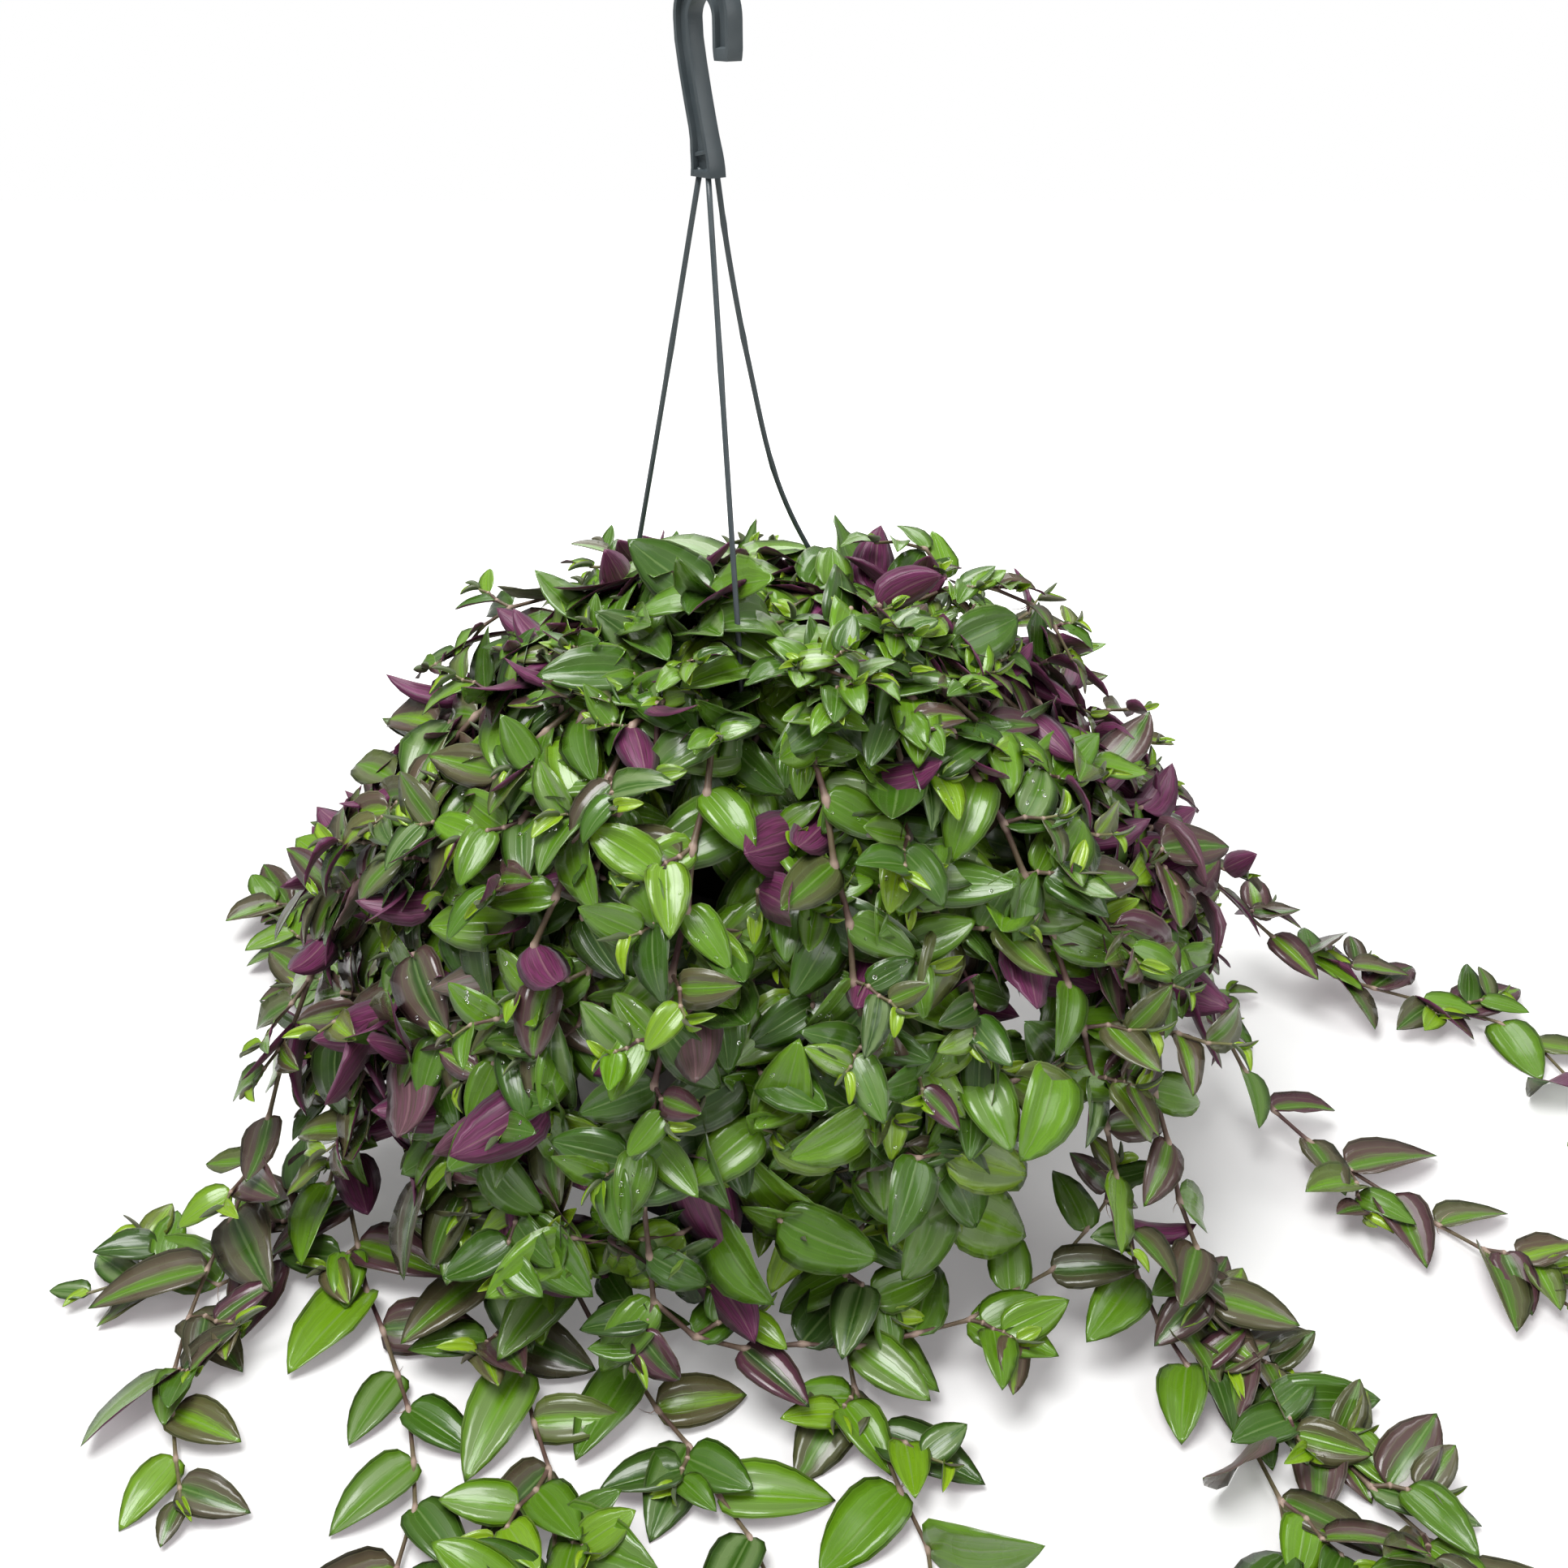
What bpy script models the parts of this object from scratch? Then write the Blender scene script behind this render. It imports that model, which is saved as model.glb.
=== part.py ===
"""A potted trailing tradescantia: a hanging pot with its one-piece hanger, set down on a round stand.

Units are metres and +Z is up. The origin is the centre of the stand's foot, on the surface it stands on.
The vines are grown by rule from a fixed seed: each stem follows a smooth route over the pot's rim,
bears a leaf at each of its nodes, and is one closed solid with the leaves that it carries.
"""

import math
import random
from dataclasses import dataclass, field

import bmesh
import bpy
from mathutils import Matrix, Vector
from mathutils.bvhtree import BVHTree
from mathutils.kdtree import KDTree

# Stand
FOOT_RADIUS = 0.125
FOOT_HEIGHT = 0.030
DRUM_RADIUS = 0.120
DRUM_TOP = 0.200
DRUM_WALL = 0.004
GRIP_HOLE_RADIUS = 0.019
GRIP_HOLE_HEIGHT = 0.072
GRIP_HOLE_AZIMUTH = -16.0
GAP = 0.0004

# Pot and soil
POT_BOTTOM = DRUM_TOP + GAP
POT_BOTTOM_RADIUS = 0.060
RIM_RADIUS = 0.0905
RIM_TOP = 0.315
RIM_LIP_HEIGHT = 0.008
POT_WALL = 0.0018
WALL_TOP_RADIUS = 0.0855
SOIL_TOP = 0.300

# Hanger
HOOK_FOOT = Vector((-0.018, 0.0, 0.597))
HOOK_TURN = -50.0
HOOK_BEND_RADIUS = 0.0155
HOOK_BEND_HEIGHT = 0.071
HOOK_SHIFT = -0.0135
HOOK_TIP_DROP = 0.018
HOOK_HALF_WIDTH = 0.0060
HOOK_HALF_THICKNESS = 0.0045
HOOK_FLANGE = 0.0022
HOOK_WEB = 0.0030
HOOK_FOOT_HALF_WIDTH = 0.0080
STRAND_RADIUS = 0.0015
STRAND_SIDES = 6
CLIP_RADIUS = 0.0945
CLIP_DEPTH = 0.009
CLIP_AZIMUTHS = {"front": -90.0, "left": 150.0, "right": 30.0}

# Plant
SEED = 4127
STEM_RADIUS = 0.0016
NODE_RADIUS = 0.0021
STEM_CLEARANCE = 0.0064
MIN_STEM_HEIGHT = 0.0038
LEAF_FLOOR_GAP = 0.0012
LEAF_GAP = 0.0005
LEAF_THICKNESS = 0.0009
ROOT_HALF_WIDTH = 0.0028
LEAF_WIDEST = 0.42
LEAF_EDGE_LIFT = 0.12
LEAF_TIP_DROOP = 0.10
BLADE_START = 0.22
NECK_HALF_THICKNESS = 0.0012
NECK_LEAST_REACH = 0.0035
NECK_MOST_SHARE = 0.2
LEAF_REACH = 0.62
SMALLEST_SOLID_LEAF = 0.024
CROWN_VINES = 10
MOUND_VINES = 25
FLOOR_VINES = 7
FLOOR_ARC = (-25.0, 205.0)
TRIES = 160

SLATE = (0.075, 0.088, 0.094)
POT_BLACK = (0.012, 0.015, 0.020)
FOOT_BLACK = (0.010, 0.010, 0.010)
DRUM_GREY = (0.48, 0.48, 0.45)
SOIL_BROWN = (0.035, 0.022, 0.014)
LEAF_GREEN = (0.085, 0.190, 0.040)


# ---------------------------------------------------------------- growth

@dataclass
class Leaf:
    """One leaf: where its sheath leaves the stem, how it points and faces, and its size."""

    node: int
    base: Vector
    along: Vector
    face: Vector
    length: float
    half_width: float


@dataclass
class Vine:
    """One stem, as the points of its nodes, with its leaves."""

    name: str
    kind: str
    points: list
    leaves: list = field(default_factory=list)


# Long vines whose run across the surface was set by hand, from the soil to the tip.
LED_ROUTES = {
    "vine_left_low": [(-0.045, -0.006, 0.303), (-0.060, -0.010, 0.338), (-0.115, -0.028, 0.342),
                      (-0.195, -0.055, 0.275), (-0.262, -0.085, 0.160), (-0.300, -0.118, 0.055),
                      (-0.320, -0.180, 0.014), (-0.316, -0.240, 0.006), (-0.285, -0.315, 0.007)],
    "vine_left_front": [(-0.034, -0.026, 0.303), (-0.045, -0.036, 0.336), (-0.088, -0.068, 0.340),
                        (-0.160, -0.102, 0.275), (-0.220, -0.104, 0.150), (-0.247, -0.112, 0.040),
                        (-0.226, -0.172, 0.007), (-0.186, -0.250, 0.006), (-0.166, -0.325, 0.006),
                        (-0.178, -0.395, 0.006)],
    "vine_right_back": [(0.045, 0.012, 0.303), (0.060, 0.020, 0.338), (0.125, 0.048, 0.338),
                        (0.235, 0.092, 0.240), (0.330, 0.112, 0.110), (0.420, 0.116, 0.030),
                        (0.500, 0.100, 0.010), (0.552, 0.074, 0.007), (0.572, 0.004, 0.006),
                        (0.566, -0.062, 0.007)],
    "vine_right_side": [(0.048, -0.012, 0.303), (0.066, -0.018, 0.336), (0.130, -0.026, 0.334),
                        (0.222, -0.022, 0.232), (0.292, -0.012, 0.105), (0.342, -0.036, 0.026),
                        (0.398, -0.090, 0.006), (0.440, -0.138, 0.006), (0.482, -0.196, 0.006),
                        (0.520, -0.262, 0.007)],
    "vine_right_front": [(0.036, -0.034, 0.303), (0.052, -0.048, 0.336), (0.104, -0.088, 0.336),
                         (0.168, -0.138, 0.222), (0.208, -0.170, 0.090), (0.228, -0.202, 0.020),
                         (0.260, -0.262, 0.006), (0.272, -0.306, 0.006), (0.266, -0.360, 0.006),
                         (0.280, -0.402, 0.007)],
    "vine_right_corner": [(0.052, -0.030, 0.303), (0.066, -0.042, 0.337), (0.122, -0.074, 0.334),
                          (0.206, -0.124, 0.200), (0.250, -0.176, 0.060), (0.276, -0.232, 0.010),
                          (0.304, -0.276, 0.006), (0.336, -0.330, 0.006), (0.368, -0.384, 0.007)],
    "vine_cross_front": [(-0.012, -0.050, 0.303), (-0.014, -0.066, 0.335), (-0.016, -0.108, 0.338),
                         (-0.034, -0.182, 0.250), (-0.052, -0.222, 0.130), (-0.040, -0.240, 0.050),
                         (0.030, -0.236, 0.030), (0.105, -0.228, 0.034), (0.178, -0.190, 0.048),
                         (0.214, -0.146, 0.062)],
    "vine_front_low": [(-0.028, -0.044, 0.303), (-0.036, -0.060, 0.336), (-0.062, -0.102, 0.334),
                       (-0.112, -0.168, 0.232), (-0.128, -0.178, 0.110), (-0.096, -0.198, 0.024),
                       (-0.044, -0.262, 0.006), (-0.004, -0.322, 0.006), (0.032, -0.392, 0.007)],
    "vine_front_middle": [(0.020, -0.052, 0.303), (0.024, -0.068, 0.335), (0.034, -0.110, 0.334),
                          (0.056, -0.170, 0.236), (0.066, -0.196, 0.120), (0.052, -0.212, 0.026),
                          (0.066, -0.266, 0.007), (0.088, -0.330, 0.006), (0.096, -0.404, 0.007)],
    "vine_front_left": [(-0.040, -0.040, 0.303), (-0.052, -0.052, 0.336), (-0.094, -0.090, 0.330),
                        (-0.148, -0.142, 0.220), (-0.170, -0.166, 0.100), (-0.146, -0.196, 0.022),
                        (-0.112, -0.268, 0.007), (-0.092, -0.340, 0.006), (-0.102, -0.414, 0.007)],
    "vine_right_shoulder": [(0.042, 0.004, 0.303), (0.056, 0.008, 0.332), (0.092, 0.020, 0.360),
                            (0.138, 0.028, 0.368), (0.174, 0.024, 0.352), (0.192, 0.012, 0.326)],
    "vine_left_shoulder": [(-0.044, 0.016, 0.303), (-0.058, 0.022, 0.332), (-0.088, 0.034, 0.352),
                           (-0.124, 0.042, 0.356), (-0.160, 0.040, 0.340), (-0.184, 0.030, 0.312)],
    "vine_top_sprig": [(0.018, 0.020, 0.303), (0.030, 0.030, 0.330), (0.078, 0.046, 0.352),
                       (0.122, 0.050, 0.368), (0.104, 0.048, 0.384), (0.070, 0.046, 0.391)],
}

SHORT_LED_VINES = ("vine_top_sprig", "vine_right_shoulder", "vine_left_shoulder")

# The mound's slope under its leaves, as (radius, height), for the widest side.
SLOPE = [(0.062, 0.342), (0.112, 0.350), (0.160, 0.322), (0.208, 0.272), (0.248, 0.212),
         (0.280, 0.150), (0.306, 0.095), (0.330, 0.045), (0.356, 0.012)]
FRONT_SQUEEZE = 0.74
BACK_SQUEEZE = 0.84


def catmull(control, steps):
    """Points of a smooth curve through the control points, with this many steps between each pair."""
    points = []
    padded = [2 * control[0] - control[1], *control, 2 * control[-1] - control[-2]]
    for a, b, c, d in zip(padded, padded[1:], padded[2:], padded[3:]):
        for k in range(steps):
            t = k / steps
            points.append(0.5 * (2 * b + (c - a) * t + (2 * a - 5 * b + 4 * c - d) * t * t
                                 + (3 * b - a - 3 * c + d) * t ** 3))
    points.append(control[-1].copy())
    return points


def squeeze(azimuth):
    """How far the mound reaches at this azimuth, against its widest side."""
    front = max(0.0, -math.sin(azimuth))
    back = max(0.0, math.sin(azimuth))
    return 1 - (1 - FRONT_SQUEEZE) * front ** 1.5 - (1 - BACK_SQUEEZE) * back ** 1.5


def polar(radius, angle, height):
    """A point from its distance and direction from the pot's axis, and its height."""
    return Vector((radius * math.cos(angle), radius * math.sin(angle), height))


def crown_route(rng, azimuth):
    """Control points of a short vine that stands up out of the soil and leans over the rim."""
    start = rng.uniform(0.010, 0.055)
    turn = rng.uniform(-0.9, 0.9)
    lift = rng.uniform(-0.006, 0.012)
    reach = rng.uniform(0.075, 0.135)
    return [polar(start, azimuth, SOIL_TOP + 0.002),
            polar(start + 0.006, azimuth, SOIL_TOP + 0.024),
            polar(start + 0.2 * (reach - start) + 0.006, azimuth + 0.3 * turn, 0.344 + lift),
            polar(start + 0.6 * (reach - start), azimuth + 0.7 * turn, 0.356 + lift),
            polar(reach, azimuth + turn, 0.352 + 1.6 * lift)]


def slope_route(rng, azimuth, kind, depth):
    """Control points of a vine that follows the mound's slope at a depth under its surface."""
    start = rng.uniform(0.012, 0.070) if kind == "mound" else rng.uniform(0.045, 0.072)
    turn = rng.uniform(-0.45, 0.45)
    control = [polar(start, azimuth, SOIL_TOP + 0.002)]
    last = rng.choice((5, 6, 7)) if kind == "mound" else len(SLOPE)
    wave = rng.uniform(0, 2 * math.pi)
    for index, (radius, height) in enumerate(SLOPE[:last]):
        share = index / (len(SLOPE) - 1)
        if radius < start + 0.015:
            continue
        angle = azimuth + turn * share + 0.07 * math.sin(wave + 2.3 * index) * (1 - 0.5 * share)
        reach = radius * (1 - 0.26 * depth * min(1, share * 3)) * (squeeze(angle) if share else 1)
        reach = max(reach, 0.104 if index == 1 else 0.0, radius * 0.5)
        control.append(polar(reach, angle, max(height - 0.016 * depth, 0.0075)))
    if kind == "floor":
        for _ in range(rng.choice((1, 2, 3))):
            angle += rng.uniform(-0.12, 0.12)
            reach += 0.042
            control.append(polar(reach, angle, 0.0065))
    return control


def node_points(rng, control, kind):
    """The stem's node points: closer together towards the tip, with a slight zigzag."""
    curve = catmull(control, 24)
    total = sum((b - a).length for a, b in zip(curve, curve[1:]))
    points = [curve[0].copy()]
    travelled, due, side = 0.0, 0.024, 1
    for a, b in zip(curve, curve[1:]):
        length = (b - a).length
        while travelled + length >= due:
            spot = a.lerp(b, (due - travelled) / length)
            across = (b - a).cross(Vector((spot.x, spot.y, 0.12))).normalized()
            left = total - due
            bend = 0.0013 * side * (0 if len(points) < 2 else 1)
            points.append(spot + across * bend)
            side = -side
            pitch = 0.027 if kind == "crown" else 0.031
            due += pitch * min(1.0, 0.42 + left / 0.13) * rng.uniform(0.88, 1.12)
        travelled += length
    if (points[-1] - curve[-1]).length < 0.007:
        points.pop()
    points.append(curve[-1].copy())
    return points


def samples(points, step=0.0026):
    """Points spaced closely along a polyline."""
    spots = []
    for a, b in zip(points, points[1:]):
        count = max(1, math.ceil((b - a).length / step))
        spots += [a.lerp(b, k / count) for k in range(count)]
    return spots + [points[-1]]


def clear_of_holder(spot):
    """Whether a stem's centre can pass through this spot without meeting the pot or the stand."""
    radius = math.hypot(spot.x, spot.y)
    if spot.z < MIN_STEM_HEIGHT:
        return False
    if spot.z < FOOT_HEIGHT + 0.004 and radius < FOOT_RADIUS + 0.0035:
        return False
    if spot.z < POT_BOTTOM + 0.004 and radius < DRUM_RADIUS + 0.0035:
        return False
    if spot.z < RIM_TOP + 0.0045 and radius < RIM_RADIUS + 0.0105:
        return spot.z > SOIL_TOP and radius < WALL_TOP_RADIUS - 0.010
    return True


def is_clear(points, taken):
    """Whether a stem along these points keeps clear of the holder and of what is already there."""
    tree = KDTree(len(taken))
    for index, spot in enumerate(taken):
        tree.insert(spot, index)
    tree.balance()
    for spot in samples(points):
        if not clear_of_holder(spot) or (taken and tree.find(spot)[2] < STEM_CLEARANCE):
            return False
    return True


def outward(spot):
    """The way the mound faces at this spot: up at the crown and on the ground, out on its flank."""
    heights = [(0.0, 4.0), (0.05, 22.0), (0.11, 50.0), (0.20, 60.0), (0.30, 46.0), (0.37, 18.0)]
    lean = heights[-1][1]
    for (low, first), (high, second) in zip(heights, heights[1:]):
        if spot.z < high:
            lean = first + (second - first) * max(0.0, spot.z - low) / (high - low)
            break
    flat = Vector((spot.x, spot.y, 0)).normalized()
    angle = math.radians(lean)
    return (flat * math.sin(angle) + Vector((0, 0, math.cos(angle)))).normalized()


def leaf_length(rng, vine, index):
    """A leaf's length: larger along the ground, and shrinking to the tip."""
    spot = vine.points[index]
    left = len(vine.points) - 1 - index
    if vine.kind == "crown":
        length = rng.uniform(0.028, 0.039)
    elif spot.z < 0.04:
        length = rng.uniform(0.047, 0.068)
    else:
        length = rng.uniform(0.037, 0.051)
    return length * (0.42, 0.62, 0.84)[left] if left < 3 else length


def aim_leaf(rng, vine, index, side):
    """A leaf at a node of the vine, lifted until it clears the surface."""
    spot = vine.points[index]
    before = vine.points[index - 1]
    after = vine.points[min(index + 1, len(vine.points) - 1)]
    tangent = (after - before).normalized()
    away = outward(spot)
    sideways = tangent.cross(away).normalized()
    length = leaf_length(rng, vine, index)
    half_width = length * rng.uniform(0.27, 0.31)
    along = (tangent * rng.uniform(0.40, 0.80) + sideways * side * rng.uniform(0.55, 0.95)
             + away * rng.uniform(0.05, 0.45))
    if spot.z < 0.04:
        along.z = max(along.z * 0.4, 0.03)
    along.normalize()
    wobble = Vector((rng.gauss(0, 0.24), rng.gauss(0, 0.24), rng.gauss(0, 0.24)))
    face = away + wobble
    if rng.random() < 0.10:
        face = (sideways * -side * rng.uniform(0.4, 1.0) - away * 0.7)
    for _ in range(24):
        face = (face - along * face.dot(along)).normalized()
        across = face.cross(along)
        middle = spot + along * length * LEAF_WIDEST
        low = min((spot + along * length - face * length * 0.10).z,
                  (middle + across * half_width).z, (middle - across * half_width).z)
        if low > LEAF_FLOOR_GAP + 0.001:
            break
        along = (along + Vector((0, 0, 0.07))).normalized()
        face = (face + Vector((0, 0, 0.16))).normalized()
    return Leaf(index, spot.copy(), along, face, length, half_width)


def strand_routes():
    """The centre line of each of the hanger's three strands, from the hook's foot to its clip."""
    routes = {}
    for name, degrees in CLIP_AZIMUTHS.items():
        angle = math.radians(degrees)
        clip = Vector((CLIP_RADIUS * math.cos(angle), CLIP_RADIUS * math.sin(angle), RIM_TOP + 0.001))
        start = HOOK_FOOT + Vector((0.0045 * math.cos(angle), 0.0035 * math.sin(angle), 0.004))
        middle = start.lerp(clip, 0.5)
        if name == "right":
            control = [start, Vector((-0.0085, 0.008, 0.556)), Vector((0.001, 0.020, 0.499)),
                       Vector((0.016, 0.032, 0.431)), Vector((0.041, 0.041, 0.376)), clip]
        else:
            control = [start, middle + Vector((0, 0, -0.003)), clip]
        drop = Vector((0, 0, CLIP_DEPTH / 2))
        routes[name] = catmull(control, 5) + [clip - drop, clip - 2 * drop]
    return routes


def grow_plant():
    """Every vine with its leaves, in the order they grow."""
    rng = random.Random(SEED)
    taken = [spot for route in strand_routes().values() for spot in samples(route)]
    vines = []
    for name, control in LED_ROUTES.items():
        kind = "crown" if name in SHORT_LED_VINES else "led"
        for attempt in range(TRIES):
            nudge = 0.0 if attempt == 0 else 0.0005 * attempt
            moved = [Vector(p) + Vector((rng.uniform(-nudge, nudge), rng.uniform(-nudge, nudge), 0))
                     for p in control]
            points = node_points(rng, moved, kind)
            if is_clear(points, taken):
                vines.append(Vine(name, kind, points))
                taken += samples(points)
                break
    low, high = (math.radians(degrees) for degrees in FLOOR_ARC)
    plan = [("crown", CROWN_VINES, 0, 2 * math.pi), ("floor", FLOOR_VINES, low, high - low),
            ("mound", MOUND_VINES, 0, 2 * math.pi)]
    for kind, count, first, arc in plan:
        for index in range(count):
            for attempt in range(TRIES):
                azimuth = first + arc * (index + 0.5) / count + rng.uniform(-0.22, 0.22)
                azimuth += 0.004 * attempt * rng.uniform(-1, 1)
                depth = (index * 0.382) % 1.0 if kind == "mound" else rng.uniform(0, 0.4)
                route = (crown_route(rng, azimuth) if kind == "crown"
                         else slope_route(rng, azimuth, kind, depth))
                points = node_points(rng, route, kind)
                if is_clear(points, taken):
                    vines.append(Vine(f"vine_{kind}_{index + 1:02d}", kind, points))
                    taken += samples(points)
                    break
    for vine in vines:
        side = rng.choice((-1, 1))
        for index in range(2, len(vine.points) - 1):
            vine.leaves.append(aim_leaf(rng, vine, index, side))
            side = -side
    return vines


# ---------------------------------------------------------------- solids

def clear_scene():
    """Remove the objects of the scene that the script starts in."""
    for thing in list(bpy.data.objects):
        bpy.data.objects.remove(thing, do_unlink=True)


def material(name, colour, roughness):
    """A plain Principled material."""
    made = bpy.data.materials.new(name)
    made.use_nodes = True
    shader = made.node_tree.nodes["Principled BSDF"]
    shader.inputs["Base Color"].default_value = (*colour, 1.0)
    shader.inputs["Roughness"].default_value = roughness
    shader.inputs["Metallic"].default_value = 0.0
    return made


def add_object(name, verts, faces, colour, roughness, smooth_below=None):
    """A closed mesh as a named object with a material of its own."""
    mesh = bpy.data.meshes.new(name)
    mesh.from_pydata([tuple(v) for v in verts], [], faces)
    mesh.validate()
    if smooth_below is not None:
        mesh.shade_smooth()
        mesh.set_sharp_from_angle(angle=math.radians(smooth_below))
    mesh.materials.append(material(name, colour, roughness))
    made = bpy.data.objects.new(name, mesh)
    bpy.context.scene.collection.objects.link(made)
    return made


def turned(name, profile, segments, colour, roughness):
    """A solid turned about Z from a profile of (radius, height) that runs up its outside."""
    verts, rings = [], []
    for radius, height in profile:
        if radius == 0:
            rings.append([len(verts)] * segments)
            verts.append((0, 0, height))
            continue
        rings.append(list(range(len(verts), len(verts) + segments)))
        verts += [(radius * math.cos(2 * math.pi * k / segments),
                   radius * math.sin(2 * math.pi * k / segments), height) for k in range(segments)]
    faces = []
    for low, high in zip(rings, rings[1:]):
        for k in range(segments):
            n = (k + 1) % segments
            corners = [low[k], low[n], high[n], high[k]]
            faces.append([c for i, c in enumerate(corners) if c not in corners[:i]])
    return add_object(name, verts, faces, colour, roughness, smooth_below=35)


def apply_boolean(target, tool, operation):
    """Join or cut the target with the tool, and remove the tool."""
    change = target.modifiers.new(operation.lower(), "BOOLEAN")
    change.operation = operation
    change.object = tool
    graph = bpy.context.evaluated_depsgraph_get()
    graph.update()
    result = bpy.data.meshes.new_from_object(target.evaluated_get(graph))
    target.modifiers.clear()
    target.data = result
    bpy.data.objects.remove(tool, do_unlink=True)


def build_stand():
    """The stand: a solid black foot, and a pale hollow drum with a round grip hole in its side."""
    foot = [(0, 0), (FOOT_RADIUS - 0.003, 0), (FOOT_RADIUS, 0.003), (FOOT_RADIUS, FOOT_HEIGHT - 0.003),
            (FOOT_RADIUS - 0.003, FOOT_HEIGHT), (0, FOOT_HEIGHT)]
    turned("stand_foot", foot, 40, FOOT_BLACK, 0.55)
    inner = DRUM_RADIUS - DRUM_WALL
    low = FOOT_HEIGHT + GAP
    drum = [(inner, low), (DRUM_RADIUS, low), (DRUM_RADIUS, DRUM_TOP - 0.003),
            (DRUM_RADIUS - 0.003, DRUM_TOP), (0, DRUM_TOP), (0, DRUM_TOP - DRUM_WALL),
            (inner, DRUM_TOP - DRUM_WALL), (inner, low)]
    shell = turned_shell("stand_drum", drum, 40, DRUM_GREY, 0.5)
    bpy.ops.mesh.primitive_cylinder_add(vertices=20, radius=GRIP_HOLE_RADIUS, depth=0.04)
    cutter = bpy.context.object
    angle = math.radians(GRIP_HOLE_AZIMUTH)
    cutter.matrix_world = (Matrix.Translation((DRUM_RADIUS * math.cos(angle),
                                               DRUM_RADIUS * math.sin(angle), GRIP_HOLE_HEIGHT))
                           @ Matrix.Rotation(angle, 4, "Z") @ Matrix.Rotation(math.pi / 2, 4, "Y"))
    apply_boolean(shell, cutter, "DIFFERENCE")


def turned_shell(name, profile, segments, colour, roughness):
    """A turned solid whose profile comes back to its first point."""
    made = turned(name, profile, segments, colour, roughness)
    work = bmesh.new()
    work.from_mesh(made.data)
    bmesh.ops.remove_doubles(work, verts=work.verts, dist=1e-6)
    work.to_mesh(made.data)
    work.free()
    return made


def build_pot():
    """The hanging pot, a tapered cup with an outturned rim, and the soil that fills it."""
    bottom = POT_BOTTOM
    lip = RIM_TOP - RIM_LIP_HEIGHT
    pot = [(0, bottom), (POT_BOTTOM_RADIUS - 0.002, bottom), (POT_BOTTOM_RADIUS, bottom + 0.002),
           (WALL_TOP_RADIUS, lip), (RIM_RADIUS, lip), (RIM_RADIUS, RIM_TOP - 0.001),
           (RIM_RADIUS - 0.001, RIM_TOP), (WALL_TOP_RADIUS, RIM_TOP),
           (WALL_TOP_RADIUS - POT_WALL, RIM_TOP - 0.002), (WALL_TOP_RADIUS - POT_WALL, lip),
           (POT_BOTTOM_RADIUS - POT_WALL, bottom + POT_WALL), (0, bottom + POT_WALL)]
    turned("pot", pot, 36, POT_BLACK, 0.4)
    inner_low = POT_BOTTOM_RADIUS - POT_WALL - 0.0012
    inner_high = inner_low + (WALL_TOP_RADIUS - POT_BOTTOM_RADIUS) * (SOIL_TOP - bottom) / (lip - bottom)
    soil = [(0, bottom + POT_WALL + GAP), (inner_low, bottom + POT_WALL + GAP),
            (inner_high, SOIL_TOP - 0.001), (inner_high - 0.003, SOIL_TOP), (0, SOIL_TOP)]
    turned("soil", soil, 28, SOIL_BROWN, 0.95)


def sweep(name, stations, section, colour, roughness):
    """A closed solid through stations of (centre, across, through), with a section of (across, through)."""
    verts, faces = [], []
    count = len(section(0))
    for index, (centre, across, through) in enumerate(stations):
        verts += [centre + across * u + through * v for u, v in section(index)]
    for ring in range(len(stations) - 1):
        for k in range(count):
            n = (k + 1) % count
            faces.append([ring * count + k, ring * count + n,
                          (ring + 1) * count + n, (ring + 1) * count + k])
    faces.append(list(range(count))[::-1])
    faces.append([len(verts) - count + k for k in range(count)])
    return add_object(name, verts, faces, colour, roughness, smooth_below=40)


def hook_line():
    """The hook's centre line in its own plane, from foot to tip, as (across, up)."""
    line = [(0.0, 0.0), (0.0, 0.006), (-0.0010, 0.013), (-0.0035, 0.023), (-0.0070, 0.036),
            (-0.0105, 0.050), (-0.0130, 0.062)]
    centre = HOOK_SHIFT + HOOK_BEND_RADIUS
    for k in range(13):
        angle = math.pi - math.pi * k / 12
        line.append((centre + HOOK_BEND_RADIUS * math.cos(angle),
                     HOOK_BEND_HEIGHT + HOOK_BEND_RADIUS * math.sin(angle)))
    end = centre + HOOK_BEND_RADIUS
    line += [(end, HOOK_BEND_HEIGHT - HOOK_TIP_DROP * k / 3) for k in (1, 2, 3)]
    return line


def build_hook():
    """The hook: an I-beam bent over, widening into a solid foot."""
    turn = math.radians(HOOK_TURN)
    plane = Vector((math.cos(turn), math.sin(turn), 0))
    through = Vector((-math.sin(turn), math.cos(turn), 0))
    line = [HOOK_FOOT + plane * u + Vector((0, 0, v)) for u, v in hook_line()]
    stations = []
    for index, centre in enumerate(line):
        tangent = (line[min(index + 1, len(line) - 1)] - line[max(index - 1, 0)]).normalized()
        stations.append((centre, through.cross(tangent).normalized(), through))
    last = len(line) - 1

    def section(index):
        half = HOOK_FOOT_HALF_WIDTH if index < 2 else HOOK_HALF_WIDTH + 0.0012 * (index == 2)
        if index == last:
            half -= 0.0008
        thick = HOOK_HALF_THICKNESS + 0.0006 * (index < 2)
        web = thick - 0.0001 if index < 2 or index > last - 2 else HOOK_WEB / 2
        inner = half - HOOK_FLANGE
        return [(half, -thick), (half, thick), (inner, thick), (inner, web), (-inner, web), (-inner, thick),
                (-half, thick), (-half, -thick), (-inner, -thick), (-inner, -web), (inner, -web),
                (inner, -thick)]

    return sweep("hanger", stations, section, SLATE, 0.45)


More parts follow.
